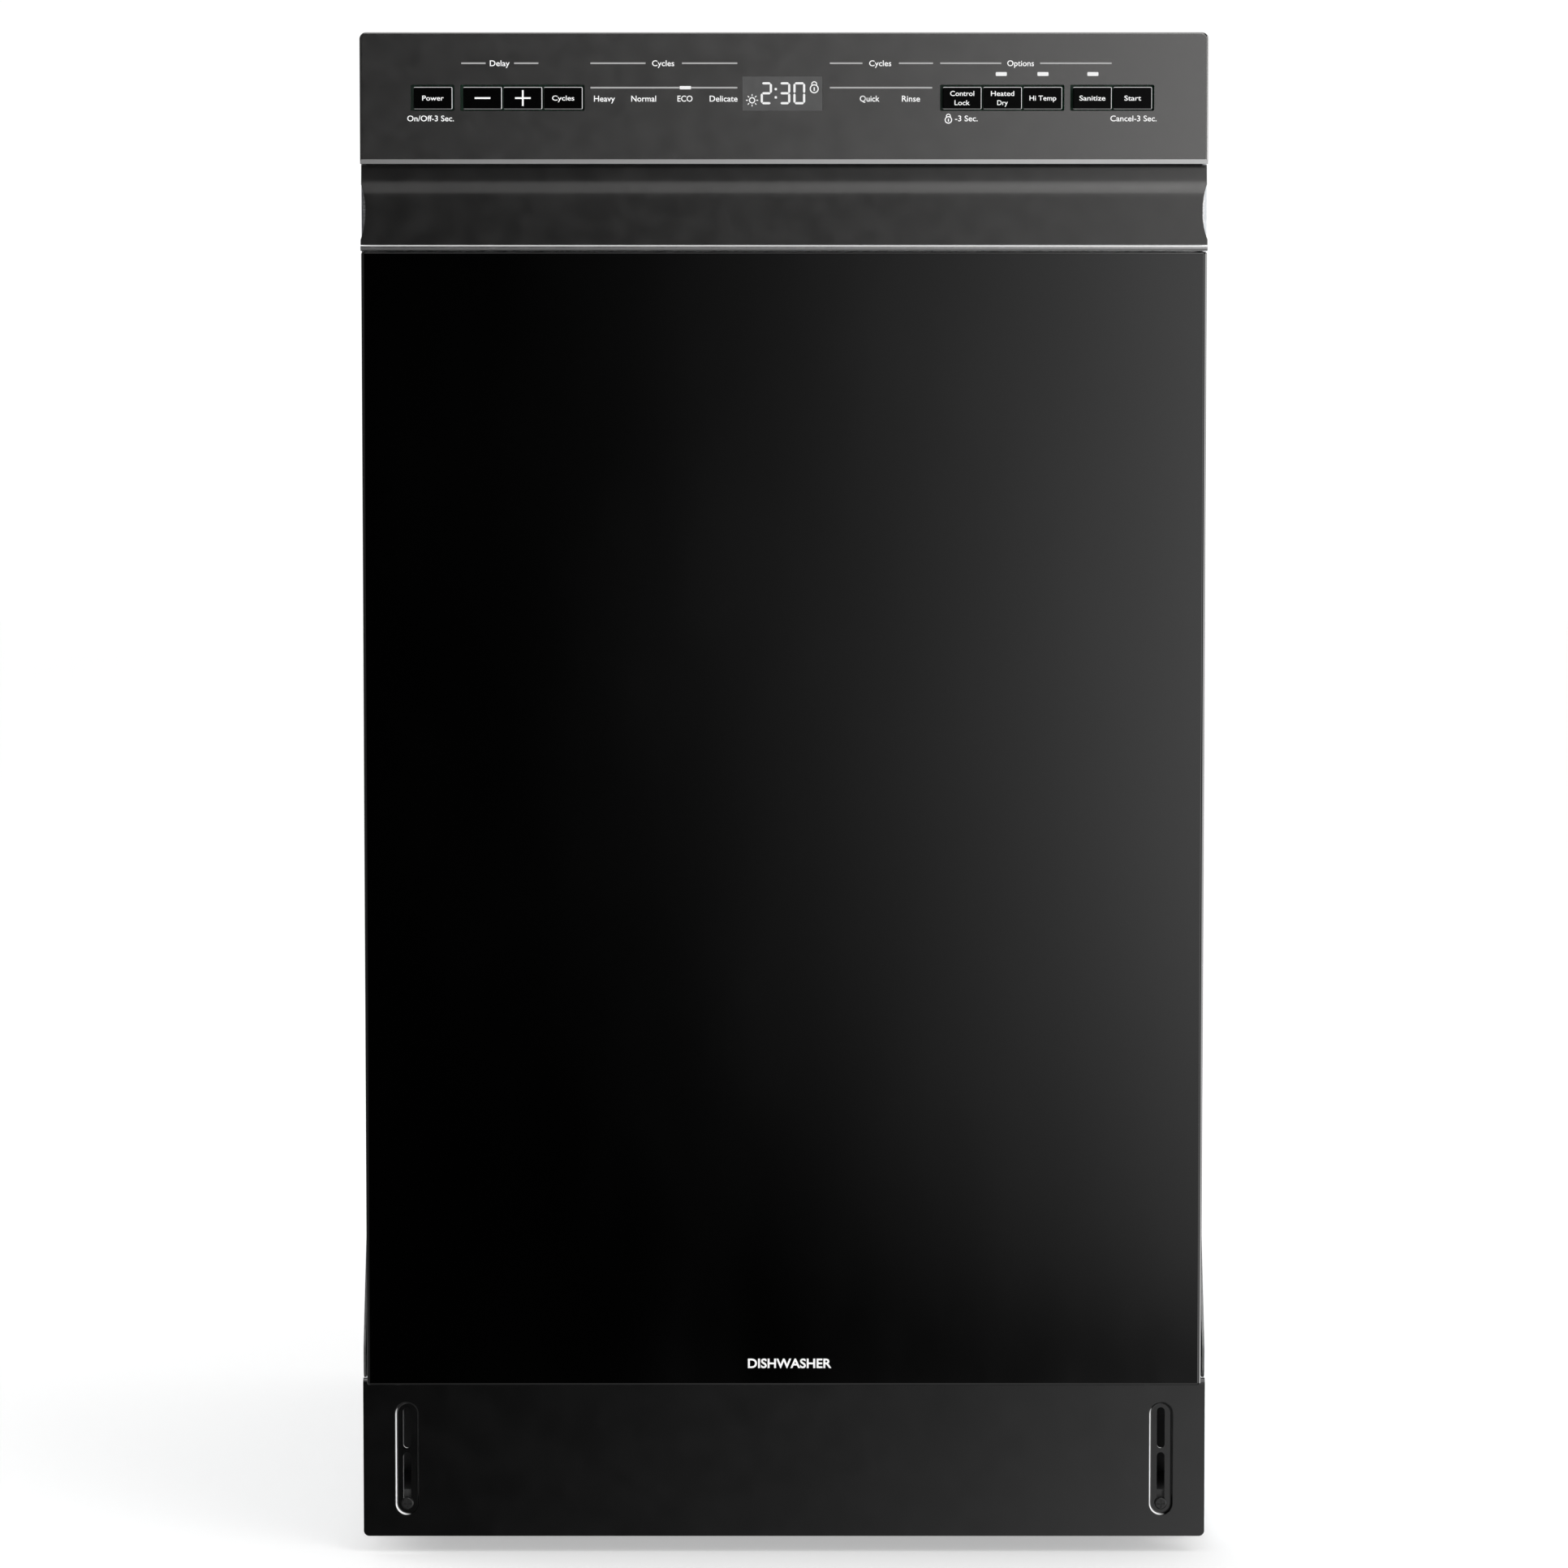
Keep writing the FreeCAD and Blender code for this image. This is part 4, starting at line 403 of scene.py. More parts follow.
plastics = {
    "base_plastic": (grey(0.035), 0.55, 0.00006),
    "foot_plastic": (grey(0.03), 0.5),
    "dark_plastic": (grey(0.03), 0.45),
    "filter_plastic": ((0.24, 0.28, 0.34), 0.35),
    "grey_plastic": ((0.36, 0.37, 0.385), 0.42),
    "white_plastic": (grey(0.68, 0.015), 0.48),
    "basket_plastic": ((0.30, 0.31, 0.33), 0.45),
}
slot_finish = {name: moulded(name, *values) for name, values in plastics.items()}
slot_finish |= {
    "kick_paint": kick_paint(),
    "screw": brushed("black_oxide", grey(0.035), 0.34, (1, 1, 1)),
    "galvanised": galvanised(),
    "hinge_steel": hinge_steel(),
    "felt": felt(),
    "spring_steel": spring_steel(),
    "stainless": brushed("stainless", (0.60, 0.60, 0.61), 0.26),
    "rubber": rubber(),
    "bright_steel": plated(),
    "heater_steel": heater_steel(),
    "rack_coating": rack_coating(),
    "panel_gloss": panel_gloss(),
    "fascia": fascia_paint(),
    "display": display_tint(),
    "circuit_board": circuit_board(),
    "key_gloss": key_gloss(),
}
ink, rule_ink, lamp, cord_finish = white_ink(), grey_ink(), lit_segment(), spring_cord()


node_slot = {row["node"]: row["material_slot"] for row in frame["record"]["subparts"]}
node_slot["hinge_brackets"] = "hinge_steel"

for node, cad_object in frame["nodes"].items():
    cad_object.data.materials.clear()
    cad_object.data.materials.append(slot_finish[node_slot[node]].material)


# ---- mesh helpers -------------------------------------------------------------------------
def piece(name, mesh, finish, body, smooth=True):
    """A named object of one finish, which rides on a body where one is given."""
    made = bpy.data.objects.new(name, mesh)
    scene.collection.objects.link(made)
    mesh.materials.clear()
    mesh.materials.append(finish.material)
    if smooth:
        mesh.polygons.foreach_set("use_smooth", [True] * len(mesh.polygons))
        mesh.set_sharp_from_angle(angle=math.radians(38))
    if body:
        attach(made, body)
    return made


def fitted(name, builder, slot, body):
    """A piece from a builder, in one of the part's own material slots."""
    return piece(name, builder.mesh(name), slot_finish[slot], body)


class Builder:
    """Collects solids in one bmesh. Coordinates are given in millimetres."""

    def __init__(self):
        self.bm = bmesh.new()

    def mesh(self, name):
        """Welds what was collected, and hands it over as a mesh. The builder is empty afterwards."""
        bmesh.ops.remove_doubles(self.bm, verts=self.bm.verts, dist=1e-7)
        bmesh.ops.recalc_face_normals(self.bm, faces=self.bm.faces)
        mesh = bpy.data.meshes.new(name)
        self.bm.to_mesh(mesh)
        self.bm.free()
        return mesh

    def loft(self, rings, closed=False, caps=True):
        """Skins a list of rings of points, each with as many points as the next."""
        rows = [[self.bm.verts.new(Vector(p) * MM) for p in ring] for ring in rings]
        count = len(rows[0])
        pairs = list(zip(rows, rows[1:]))
        if closed:
            pairs.append((rows[-1], rows[0]))
        for a, b in pairs:
            for k in range(count):
                n = (k + 1) % count
                self.bm.faces.new((a[k], a[n], b[n], b[k]))
        if caps and not closed:
            self.bm.faces.new(rows[0])
            self.bm.faces.new(rows[-1])

    def wire(self, path, radius, sides=10, closed=False):
        """A round bar along a path of points, with domed ends unless it is closed."""
        points = [Vector(p) for p in path]
        count = len(points)
        tangents = []
        for k in range(count):
            before = points[(k - 1) % count] if closed or k else points[k]
            after = points[(k + 1) % count] if closed or k < count - 1 else points[k]
            tangents.append((after - before).normalized())
        side = tangents[0].orthogonal().normalized()
        rings = []
        for k, (point, along) in enumerate(zip(points, tangents)):
            side = (side - along * side.dot(along)).normalized()
            up = along.cross(side)
            steps = [(0.0, 1.0)]
            if not closed and k == 0:
                steps = [(-0.9, 0.35), (-0.55, 0.83), (0.0, 1.0)]
            if not closed and k == count - 1:
                steps = [(0.0, 1.0), (0.55, 0.83), (0.9, 0.35)]
            for shift, share in steps:
                centre = point + along * shift * radius * 0.8
                rings.append([centre + (side * math.cos(a) + up * math.sin(a)) * radius * share
                              for a in (2 * math.pi * s / sides for s in range(sides))])
        self.loft(rings, closed)

    def block(self, low, high, ease=0.6, axis=1):
        """A plate with rounded corners about one axis and eased faces."""
        low, high = Vector(low), Vector(high)
        a, b = [k for k in range(3) if k != axis]
        radius = min(ease * 3, (high[a] - low[a]) / 2.1, (high[b] - low[b]) / 2.1)
        ease = min(ease, (high[axis] - low[axis]) / 2.5, radius * 0.8)
        rings = []
        first, last, part = low[axis], high[axis], ease * 0.3
        for level, inset in ((first, ease), (first + part, part), (first + ease, 0),
                             (last - ease, 0), (last - part, part), (last, ease)):
            ring = []
            for corner, (sa, sb) in enumerate(((1, 1), (-1, 1), (-1, -1), (1, -1))):
                ca = (high[a] if sa > 0 else low[a]) - sa * radius
                cb = (high[b] if sb > 0 else low[b]) - sb * radius
                for step in range(5):
                    angle = math.pi / 2 * (corner + step / 4)
                    point = Vector((0, 0, 0))
                    point[axis] = level
                    point[a] = ca + math.cos(angle) * (radius - inset)
                    point[b] = cb + math.sin(angle) * (radius - inset)
                    ring.append(point)
            rings.append(ring)
        self.loft(rings)

    def turned(self, profile, centre, axis=0, sides=40):
        """A solid of revolution: profile is a list of (place along the axis, radius)."""
        centre = Vector(centre)
        a, b = [k for k in range(3) if k != axis]
        rings = []
        for along, radius in profile:
            ring = []
            for k in range(sides):
                angle = 2 * math.pi * k / sides
                point = centre.copy()
                point[axis] += along
                point[a] += radius * math.cos(angle)
                point[b] += radius * math.sin(angle)
                ring.append(point)
            rings.append(ring)
        self.loft(rings, caps=profile[0][1] > 0.01)


def rounded_path(corners, radius, closed=False, steps=6):
    """The corners of a polyline, each replaced by an arc of the given radius."""
    points = [Vector(c) for c in corners]
    count = len(points)
    path = []
    for k, corner in enumerate(points):
        if not closed and k in (0, count - 1):
            path.append(corner)
            continue
        back = (points[k - 1] - corner).normalized()
        ahead = (points[(k + 1) % count] - corner).normalized()
        half = back.angle(ahead) / 2
        reach = radius / math.tan(half)
        middle = corner + (back + ahead).normalized() * (radius / math.sin(half))
        start = corner + back * reach - middle
        end = corner + ahead * reach - middle
        turn = start.angle(end)
        for step in range(steps + 1):
            f = step / steps
            arm = start * math.sin((1 - f) * turn) + end * math.sin(f * turn)
            path.append(middle + arm / math.sin(turn))
    return path


def spread(low, high, count):
    """Evenly spaced values from low to high, both included."""
    return [low + (high - low) * k / (count - 1) for k in range(count)]


def corners_mm(node):
    """The low and high corners of a CAD node's box, in millimetres."""
    low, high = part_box(node)
    return low / MM, high / MM


# ---- camera, backdrop and light -----------------------------------------------------------
CAMERA_AIM_HEIGHT = 0.4179
CAMERA_DISTANCE = 3.3
CAMERA_PITCH = math.radians(4.6)
LENS, SENSOR = 143.6, 36.0

# What the gloss reflects in front of the object. Places are slopes of the reflected ray: sideways (across)
# and upwards (rise), each over the run towards the camera.
WALL_SLOPE, WALL_MIDDLE, WALL_MOST = 7.4, 0.5, 1.3
WALL_CURVE, WALL_BRIGHT = 2.75, 1.75
DROOP_FROM, DROOP_PULL = 0.06, -26.0
BEND_FROM, BEND_PULL = 0.09, -240.0
KICK_FROM, KICK_TO = -0.186, -0.190
DIM_FROM, DIM_TO, DIM_CURVE, DIM_GAIN, DIM_LEAST = 0.06, 0.20, 3.0, 0.44, 0.16
STRIP_LOW, STRIP_HIGH, STRIP_GAIN, STRIP_LEAST = (0.62, 0.80), (1.60, 1.85), 1.35, 0.7
GROUND_FROM, GROUND_TO, GROUND_SLOPE, GROUND_MIDDLE = -0.22, -0.42, 6.0, 0.72
GROUND_LEAST, GROUND_MOST = 0.15, 1.7
ASIDE_FROM, ASIDE_TO = 0.28, 0.8

# What it reflects to the sides and overhead, by the ray's own direction.
ROOM, SOFTBOX, CEILING = 0.35, 8.5, 4.5
SOFTBOX_FROM, SOFTBOX_TO = 0.78, 0.90
CEILING_FROM, CEILING_TO = 0.86, 0.95

BACKDROP = 1.30               # what the camera sees behind the object
SOFT_LOW, SOFT_HIGH = 0.50, 0.86    # soft light from below and from above
FLOOR_HALF = 9.0


def add_camera():
    data = bpy.data.cameras.new("camera")
    data.lens, data.sensor_width = LENS, SENSOR
    camera = bpy.data.objects.new("camera", data)
    scene.collection.objects.link(camera)
    front = cad_low.y
    back_off, up = CAMERA_DISTANCE * math.cos(CAMERA_PITCH), CAMERA_DISTANCE * math.sin(CAMERA_PITCH)
    camera.location = (0, front - back_off, CAMERA_AIM_HEIGHT + up)
    camera.rotation_euler = (math.pi / 2 - CAMERA_PITCH, 0, 0)
    scene.camera = camera


def add_world():
    """A pale backdrop, soft even light, and a studio that the gloss reflects: dark at the left of the
    camera, brighter to the right, with a strip light above it, a softbox at the right, a bright ceiling
    and a pale floor."""
    world = bpy.data.worlds.new("studio")
    world.use_nodes = True
    scene.world = world
    world.node_tree.nodes.clear()
    studio = Graph(world.node_tree)
    calc, ramp = studio.math, studio.ramp

    def line(value, slope, start):
        return calc("ADD", calc("MULTIPLY", value, slope), start)

    def clamped(value, least, most):
        return calc("MINIMUM", calc("MAXIMUM", value, least), most)

    def blend(share, a, b):
        """a where share is 0, b where it is 1."""
        return calc("ADD", calc("MULTIPLY", a, calc("SUBTRACT", 1.0, share)), calc("MULTIPLY", share, b))

    x, y, z = studio.node("SeparateXYZ", {0: studio.node("TexCoord").outputs["Generated"]}).outputs
    ahead = calc("MAXIMUM", calc("MULTIPLY", y, -1.0), 0.02)
    across = calc("DIVIDE", x, ahead)
    rise = calc("DIVIDE", z, ahead)

    droop = calc("MAXIMUM", calc("SUBTRACT", calc("MULTIPLY", rise, -1.0), DROOP_FROM), 0.0)
    bend = calc("MAXIMUM", calc("SUBTRACT", droop, BEND_FROM), 0.0)
    tilt = calc("MULTIPLY", calc("POWER", droop, 2.0), DROOP_PULL)
    tilt = calc("ADD", tilt, calc("MULTIPLY", calc("POWER", bend, 2.0), BEND_PULL))
    tilt = calc("MULTIPLY", tilt, ramp(rise, KICK_FROM, KICK_TO, 1.0, 0.0))
    level = line(across, WALL_SLOPE, WALL_MIDDLE)
    level = clamped(calc("ADD", level, tilt), 0.0, WALL_MOST)
    wall = calc("MULTIPLY", calc("POWER", level, WALL_CURVE), WALL_BRIGHT)
    dimmed = line(calc("POWER", level, DIM_CURVE), DIM_GAIN, DIM_LEAST)
    wall = calc("MULTIPLY", wall, ramp(rise, DIM_FROM, DIM_TO, 1.0, dimmed))
    strip = calc("MULTIPLY", ramp(rise, *STRIP_LOW), ramp(rise, *STRIP_HIGH, 1.0, 0.0))
    strip = calc("MULTIPLY", strip, line(level, STRIP_GAIN, STRIP_LEAST))
    pale = clamped(line(x, GROUND_SLOPE, GROUND_MIDDLE), GROUND_LEAST, GROUND_MOST)
    near = calc("ADD", blend(ramp(rise, GROUND_FROM, GROUND_TO), wall, pale), strip)

    ceiling = ramp(z, CEILING_FROM, CEILING_TO)
    softbox = ramp(x, SOFTBOX_FROM, SOFTBOX_TO, 0.0, SOFTBOX)
    room = calc("ADD", calc("ADD", ROOM, softbox), calc("MULTIPLY", ceiling, CEILING))
    aside = ramp(calc("ABSOLUTE", across), ASIDE_FROM, ASIDE_TO)
    reflected = blend(calc("MAXIMUM", aside, ceiling), near, room)

    path = studio.node("LightPath")
    soft = ramp(z, -1.0, 1.0, SOFT_LOW, SOFT_HIGH)
    shine = calc("MULTIPLY", reflected, path.outputs["Is Glossy Ray"])
    seen = calc("MULTIPLY", path.outputs["Is Camera Ray"], BACKDROP)
    rest = calc("SUBTRACT", 1.0, calc("ADD", path.outputs["Is Glossy Ray"], path.outputs["Is Camera Ray"]))
    total = calc("ADD", calc("ADD", shine, seen), calc("MULTIPLY", rest, soft))
    light = studio.node("Background", {"Strength": total})
    studio.node("OutputWorld", {0: light.outputs[0]})


def add_floor():
    floor_finish = Finish("studio_floor", grey(0.86), 0.9, Specular_IOR_Level=0.1, Emission_Strength=0.42)
    floor_finish.shader.inputs["Emission Color"].default_value = (*grey(1.0), 1)
    floor_finish.tint(floor_finish.noise(0.6, 3), grey(0.84), grey(0.88))
    mesh = bpy.data.meshes.new("floor")
    corners = [(x * FLOOR_HALF, y * FLOOR_HALF, 0) for x, y in ((-1, -1), (1, -1), (1, 1), (-1, 1))]
    mesh.from_pydata(corners, [], [(0, 1, 2, 3)])
    floor = piece("floor", mesh, floor_finish, None, smooth=False)
    floor.visible_glossy = False


def add_lamp(name, place, aim, size, power):
    data = bpy.data.lights.new(name, "AREA")
    data.shape, data.size, data.energy = "DISK", size, power
    made = bpy.data.objects.new(name, data)
    scene.collection.objects.link(made)
    made.location = place
    made.rotation_euler = (Vector(aim) - Vector(place)).to_track_quat("-Z", "Y").to_euler()
    made.visible_glossy = False


scene.view_settings.view_transform = "Standard"
add_camera()
add_world()
add_floor()
add_lamp("key_light", (1.6, -2.4, 2.8), (0, 0, 0.4), 1.8, 22)
add_lamp("fill_light", (-2.6, 1.2, 2.2), (0, 0, 0.4), 2.2, 16)


# ---- printing on the control panel and the door -------------------------------------------
def flat_text(words, weight=0.0):
    """Mesh of the words in Blender's own font, one unit high, in its own XY plane."""
    curve = bpy.data.curves.new("words", "FONT")
    curve.body = words
    curve.size = 1.0
    curve.offset = weight
    curve.resolution_u = 4
    temporary = bpy.data.objects.new("words", curve)
    scene.collection.objects.link(temporary)
    bpy.context.view_layer.update()
    mesh = bpy.data.meshes.new_from_object(temporary)
    bpy.data.objects.remove(temporary)
    bpy.data.curves.remove(curve)
    return mesh


def span(mesh, axis):
    """The least and the greatest coordinate of a mesh along one axis."""
    values = [v.co[axis] for v in mesh.vertices]
    return min(values), max(values)


CAPITAL = span(flat_text("H"), 1)[1]


def letter(builder, words, x, z, y, capital, width=None, weight=0.011):
    """Adds words to a builder, centred on x and on half the height of their capitals."""
    mesh = flat_text(words, weight)
    low, high = span(mesh, 0)
    tall = capital / CAPITAL
    wide = width / (high - low) if width else tall
    across = (wide, 0, 0, x - wide * (low + high) / 2)
    mesh.transform(Matrix((across, (0, 0, 1, y), (0, tall, 0, z - capital / 2), (0, 0, 0, 1))))
    mesh.transform(Matrix.Scale(MM, 4))
    builder.bm.from_mesh(mesh)
    bpy.data.meshes.remove(mesh)


def patch(builder, outline, y):
    """A flat printed patch from its outline of (x, z) points."""
    builder.bm.faces.new([builder.bm.verts.new(Vector((x, y, z)) * MM) for x, z in outline])


def bar(builder, x0, x1, z0, z1, y, cut=0.0):
    """A rectangle, with its corners cut off where cut is given."""
    if cut:
        outline = [(x0 + cut, z0), (x1 - cut, z0), (x1, z0 + cut), (x1, z1 - cut),
                   (x1 - cut, z1), (x0 + cut, z1), (x0, z1 - cut), (x0, z0 + cut)]
    else:
        outline = [(x0, z0), (x1, z0), (x1, z1), (x0, z1)]
    patch(builder, outline, y)


def arc_band(builder, x, z, inner, outer, start, end, y, steps=14):
    """Part of a flat ring between two angles in degrees."""
    for k in range(steps):
        a = math.radians(start + (end - start) * k / steps)
        b = math.radians(start + (end - start) * (k + 1) / steps)
        patch(builder, [(x + inner * math.cos(a), z + inner * math.sin(a)),
                        (x + outer * math.cos(a), z + outer * math.sin(a)),
                        (x + outer * math.cos(b), z + outer * math.sin(b)),
                        (x + inner * math.cos(b), z + inner * math.sin(b))], y)


def printed(name, builder, finish, body):
    """Gives the collected patches the thickness of a coat of ink, and makes the piece."""
    bm = builder.bm
    bmesh.ops.remove_doubles(bm, verts=bm.verts, dist=1e-7)
    thick = bmesh.ops.extrude_face_region(bm, geom=bm.faces[:])
    moved = [v for v in thick["geom"] if isinstance(v, bmesh.types.BMVert)]
    bmesh.ops.translate(bm, verts=moved, vec=(0, -INK_THICKNESS, 0))
    return piece(name, builder.mesh(name), finish, body, smooth=False)


def padlock(builder, x, z, y, size):
    """A small closed padlock: ring body, shackle and keyhole."""
    body_r = size * 0.36
    arc_band(builder, x, z - size * 0.14, body_r * 0.74, body_r, 0, 360, y, 28)
    arc_band(builder, x, z + size * 0.22, body_r * 0.42, body_r * 0.66, -25, 205, y)
    bar(builder, x - size * 0.05, x + size * 0.05, z - size * 0.30, z - size * 0.02, y)


def sun(builder, x, z, y, size):
    """A ring with eight rays."""
    arc_band(builder, x, z, size * 0.17, size * 0.26, 0, 360, y, 24)
    r0, r1, half = size * 0.34, size * 0.5, 0.25
    for k in range(8):
        a = math.radians(45 * k)
        along, aside = Vector((math.cos(a), math.sin(a))), Vector((-math.sin(a), math.cos(a)))
        corners = [along * r + aside * s for r, s in ((r0, -half), (r1, -half), (r1, half), (r0, half))]
        patch(builder, [(x + c.x, z + c.y) for c in corners], y)


SEGMENTS = {"2": "abged", "3": "abgcd", "0": "abcdef"}


def digit(builder, figure, x0, x1, z0, z1, y, stroke=1.15):
    """A seven-segment figure with mitred segment ends."""
    zm, half, gap = (z0 + z1) / 2, stroke / 2, 0.12
    for name in SEGMENTS[figure]:
        if name in "agd":
            z = {"a": z1 - half, "g": zm, "d": z0 + half}[name]
            a, b = x0 + half + gap, x1 - half - gap
            outline = [(a, z), (a + half, z - half), (b - half, z - half), (b, z), (b - half, z + half),
                       (a + half, z + half)]
        else:
            x = x0 + half if name in "ef" else x1 - half
            a, b = (zm + gap, z1 - half - gap) if name in "bf" else (z0 + half + gap, zm - gap)
            outline = [(x, a), (x + half, a + half), (x + half, b - half), (x, b), (x - half, b - half),
                       (x - half, a + half)]
        patch(builder, outline, y)


FASCIA_Y = cad_low.y / MM - PROUD
HEADER_Z, LAMP_Z, RULE_Z, LABEL_Z, FOOT_Z = 795.9, 790.3, 783.2, 777.5, 767.2
RULE_HALF = 0.42
LAMP_HALF_WIDTH, LAMP_HALF = 2.9, 1.0
SIGN_REACH, SIGN_HALF = 4.1, 0.45


def panel_print():
    """Headings with their rules, cycle names, hints under the keys, and the lamps."""
    y = FASCIA_Y
    words = Builder()
    rules = Builder()
    for heading, x, width, lines in (
        ("Delay", -148.6, 10.4, ((-168.7, -156.0), (-141.1, -128.4))),
        ("Cycles", -63.2, 11.6, ((-101.2, -72.4), (-53.3, -24.4))),
        ("Cycles", 50.3, 11.6, ((24.0, 41.0), (60.1, 77.9))),
        ("Options", 123.7, 14.0, ((81.7, 113.6), (133.9, 171.3))),
    ):
        letter(words, heading, x, HEADER_Z, y, 2.9, width)
        for start, end in lines:
            bar(rules, start, end, HEADER_Z - RULE_HALF, HEADER_Z + RULE_HALF, y)
    for start, end in ((-101.2, -24.4), (24.0, 77.5)):
        bar(rules, start, end, RULE_Z - RULE_HALF, RULE_Z + RULE_HALF, y)
    for label, x, width in (("Heavy", -93.9, 11.0), ("Normal", -73.4, 13.0), ("ECO", -51.8, 7.9),
                            ("Delicate", -31.6, 14.6), ("Quick", 44.8, 10.3), ("Rinse", 66.4, 9.5)):
        letter(words, label, x, LABEL_Z, y, 3.0, width)
    letter(words, "On/Off-3 Sec.", -184.9, FOOT_Z, y, 2.9, 24.4)
    letter(words, "-3 Sec.", 95.4, FOOT_Z, y, 2.9, 11.9)
    letter(words, "Cancel-3 Sec.", 182.8, FOOT_Z, y, 2.9, 24.2)
    padlock(words, 86.0, FOOT_Z, y, 5.4)
    printed("panel_words", words, ink, "door")
    printed("panel_rules", rules, rule_ink, "door")
    lamps = Builder()
    bar(lamps, -54.5, -48.7, RULE_Z - 0.85, RULE_Z + 0.85, y - 0.06)
    for x in (113.6, 135.4, 161.5):
        bar(lamps, x - LAMP_HALF_WIDTH, x + LAMP_HALF_WIDTH, LAMP_Z - LAMP_HALF, LAMP_Z + LAMP_HALF, y, 0.3)
    printed("panel_lamps", lamps, lamp, "door")


def display_figures():
    """The time left, a drying symbol and a lock symbol behind the window's face."""
    low = corners_mm("display_window")[0]
    y = low.y - PROUD
    figures = Builder()
    z0, z1 = low.z + 3.4, low.z + 14.9
    digit(figures, "2", -12.2, -6.3, z0, z1, y)
    digit(figures, "3", -2.6, 3.3, z0, z1, y)
    digit(figures, "0", 4.9, 11.1, z0, z1, y)
    for z in (z0 + 3.6, z1 - 3.6):
        bar(figures, -4.9, -3.7, z - 0.6, z + 0.6, y, 0.2)
    sun(figures, -16.7, low.z + 5.5, y, 6.4)
    padlock(figures, 15.8, low.z + 12.4, y, 6.6)
    printed("display_figures", figures, lamp, "door")


def key_print():
    """The word or sign on each key, which moves with the key."""
    for key, lines in (
        ("power", (("Power", 0.0, 11.3),)), ("cycles", (("Cycles", 0.0, 11.6),)),
        ("lock", (("Control", 2.4, 12.6), ("Lock", -2.4, 8.0))),
        ("heated_dry", (("Heated", 2.4, 12.2), ("Dry", -2.4, 5.6))),
        ("hi_temp", (("Hi Temp", 0.0, 14.0),)), ("sanitize", (("Sanitize", 0.0, 13.6),)),
        ("start", (("Start", 0.0, 8.8),)), ("minus", ()), ("plus", ()),
    ):
        low, high = corners_mm("key_" + key)
        x, z, y = (low.x + high.x) / 2, (low.z + high.z) / 2, low.y - PROUD
        words = Builder()
        for text, lift, width in lines:
            letter(words, text, x, z + lift, y, 2.5, width)
        if key in ("minus", "plus"):
            bar(words, x - SIGN_REACH, x + SIGN_REACH, z - SIGN_HALF, z + SIGN_HALF, y)
        if key == "plus":
            bar(words, x - SIGN_HALF, x + SIGN_HALF, z + SIGN_HALF, z + SIGN_REACH, y)
            bar(words, x - SIGN_HALF, x + SIGN_HALF, z - SIGN_REACH, z - SIGN_HALF, y)
        printed("print_" + key, words, ink, "key_" + key)


def door_word():
    """The plain word at the foot of the door."""
    low = corners_mm("door_panel")[0]
    word = Builder()
    letter(word, "DISHWASHER", 3.0, low.z + 11.8, low.y - PROUD, 4.75, 44.4, 0.024)
    printed("door_word", word, ink, "door")


panel_print()
display_figures()
key_print()
door_word()


# ---- wire racks ---------------------------------------------------------------------------
WIRE, RIM = 1.6, 2.4            # radii
BEND, RIM_BEND = 14.0, 16.0
RACK_HALF = 174.0


def basket_wires(half, y0, y1, z, rim_z, across, along, levels):
    """U-bent wires both ways, crossing on each other, with rounded rims welded round the outside."""
    build = Builder()
    rows, columns = spread(y0 + 12, y1 - 12, across), spread(20 - half, half - 20, along)
    top = rim_z - RIM
    for y in rows:
        build.wire(rounded_path([(-half, y, top), (-half, y, z), (half, y, z), (half, y, top)], BEND), WIRE)
    z2 = z + 2 * WIRE
    for x in columns:
        build.wire(rounded_path([(x, y0, top), (x, y0, z2), (x, y1, z2), (x, y1, top)], BEND), WIRE)
    out = WIRE + RIM
    x0, x1, front, back = -half - out, half + out, y0 - out, y1 + out
    for level in levels:
        corners = [(x0, front, level), (x1, front, level), (x1, back, level), (x0, back, level)]
        build.wire(rounded_path(corners, RIM_BEND, closed=True), RIM, 12, closed=True)
    return build, rows


def tine_row(build, x, rows, z, height):
    """Upright plate tines, one welded beside each cross wire, with rounded tips."""
    for y in rows:
        foot = y + 2 * WIRE
        build.wire([(x, foot, z), (x, foot, z + height * 0.5), (x, foot, z + height)], WIRE)


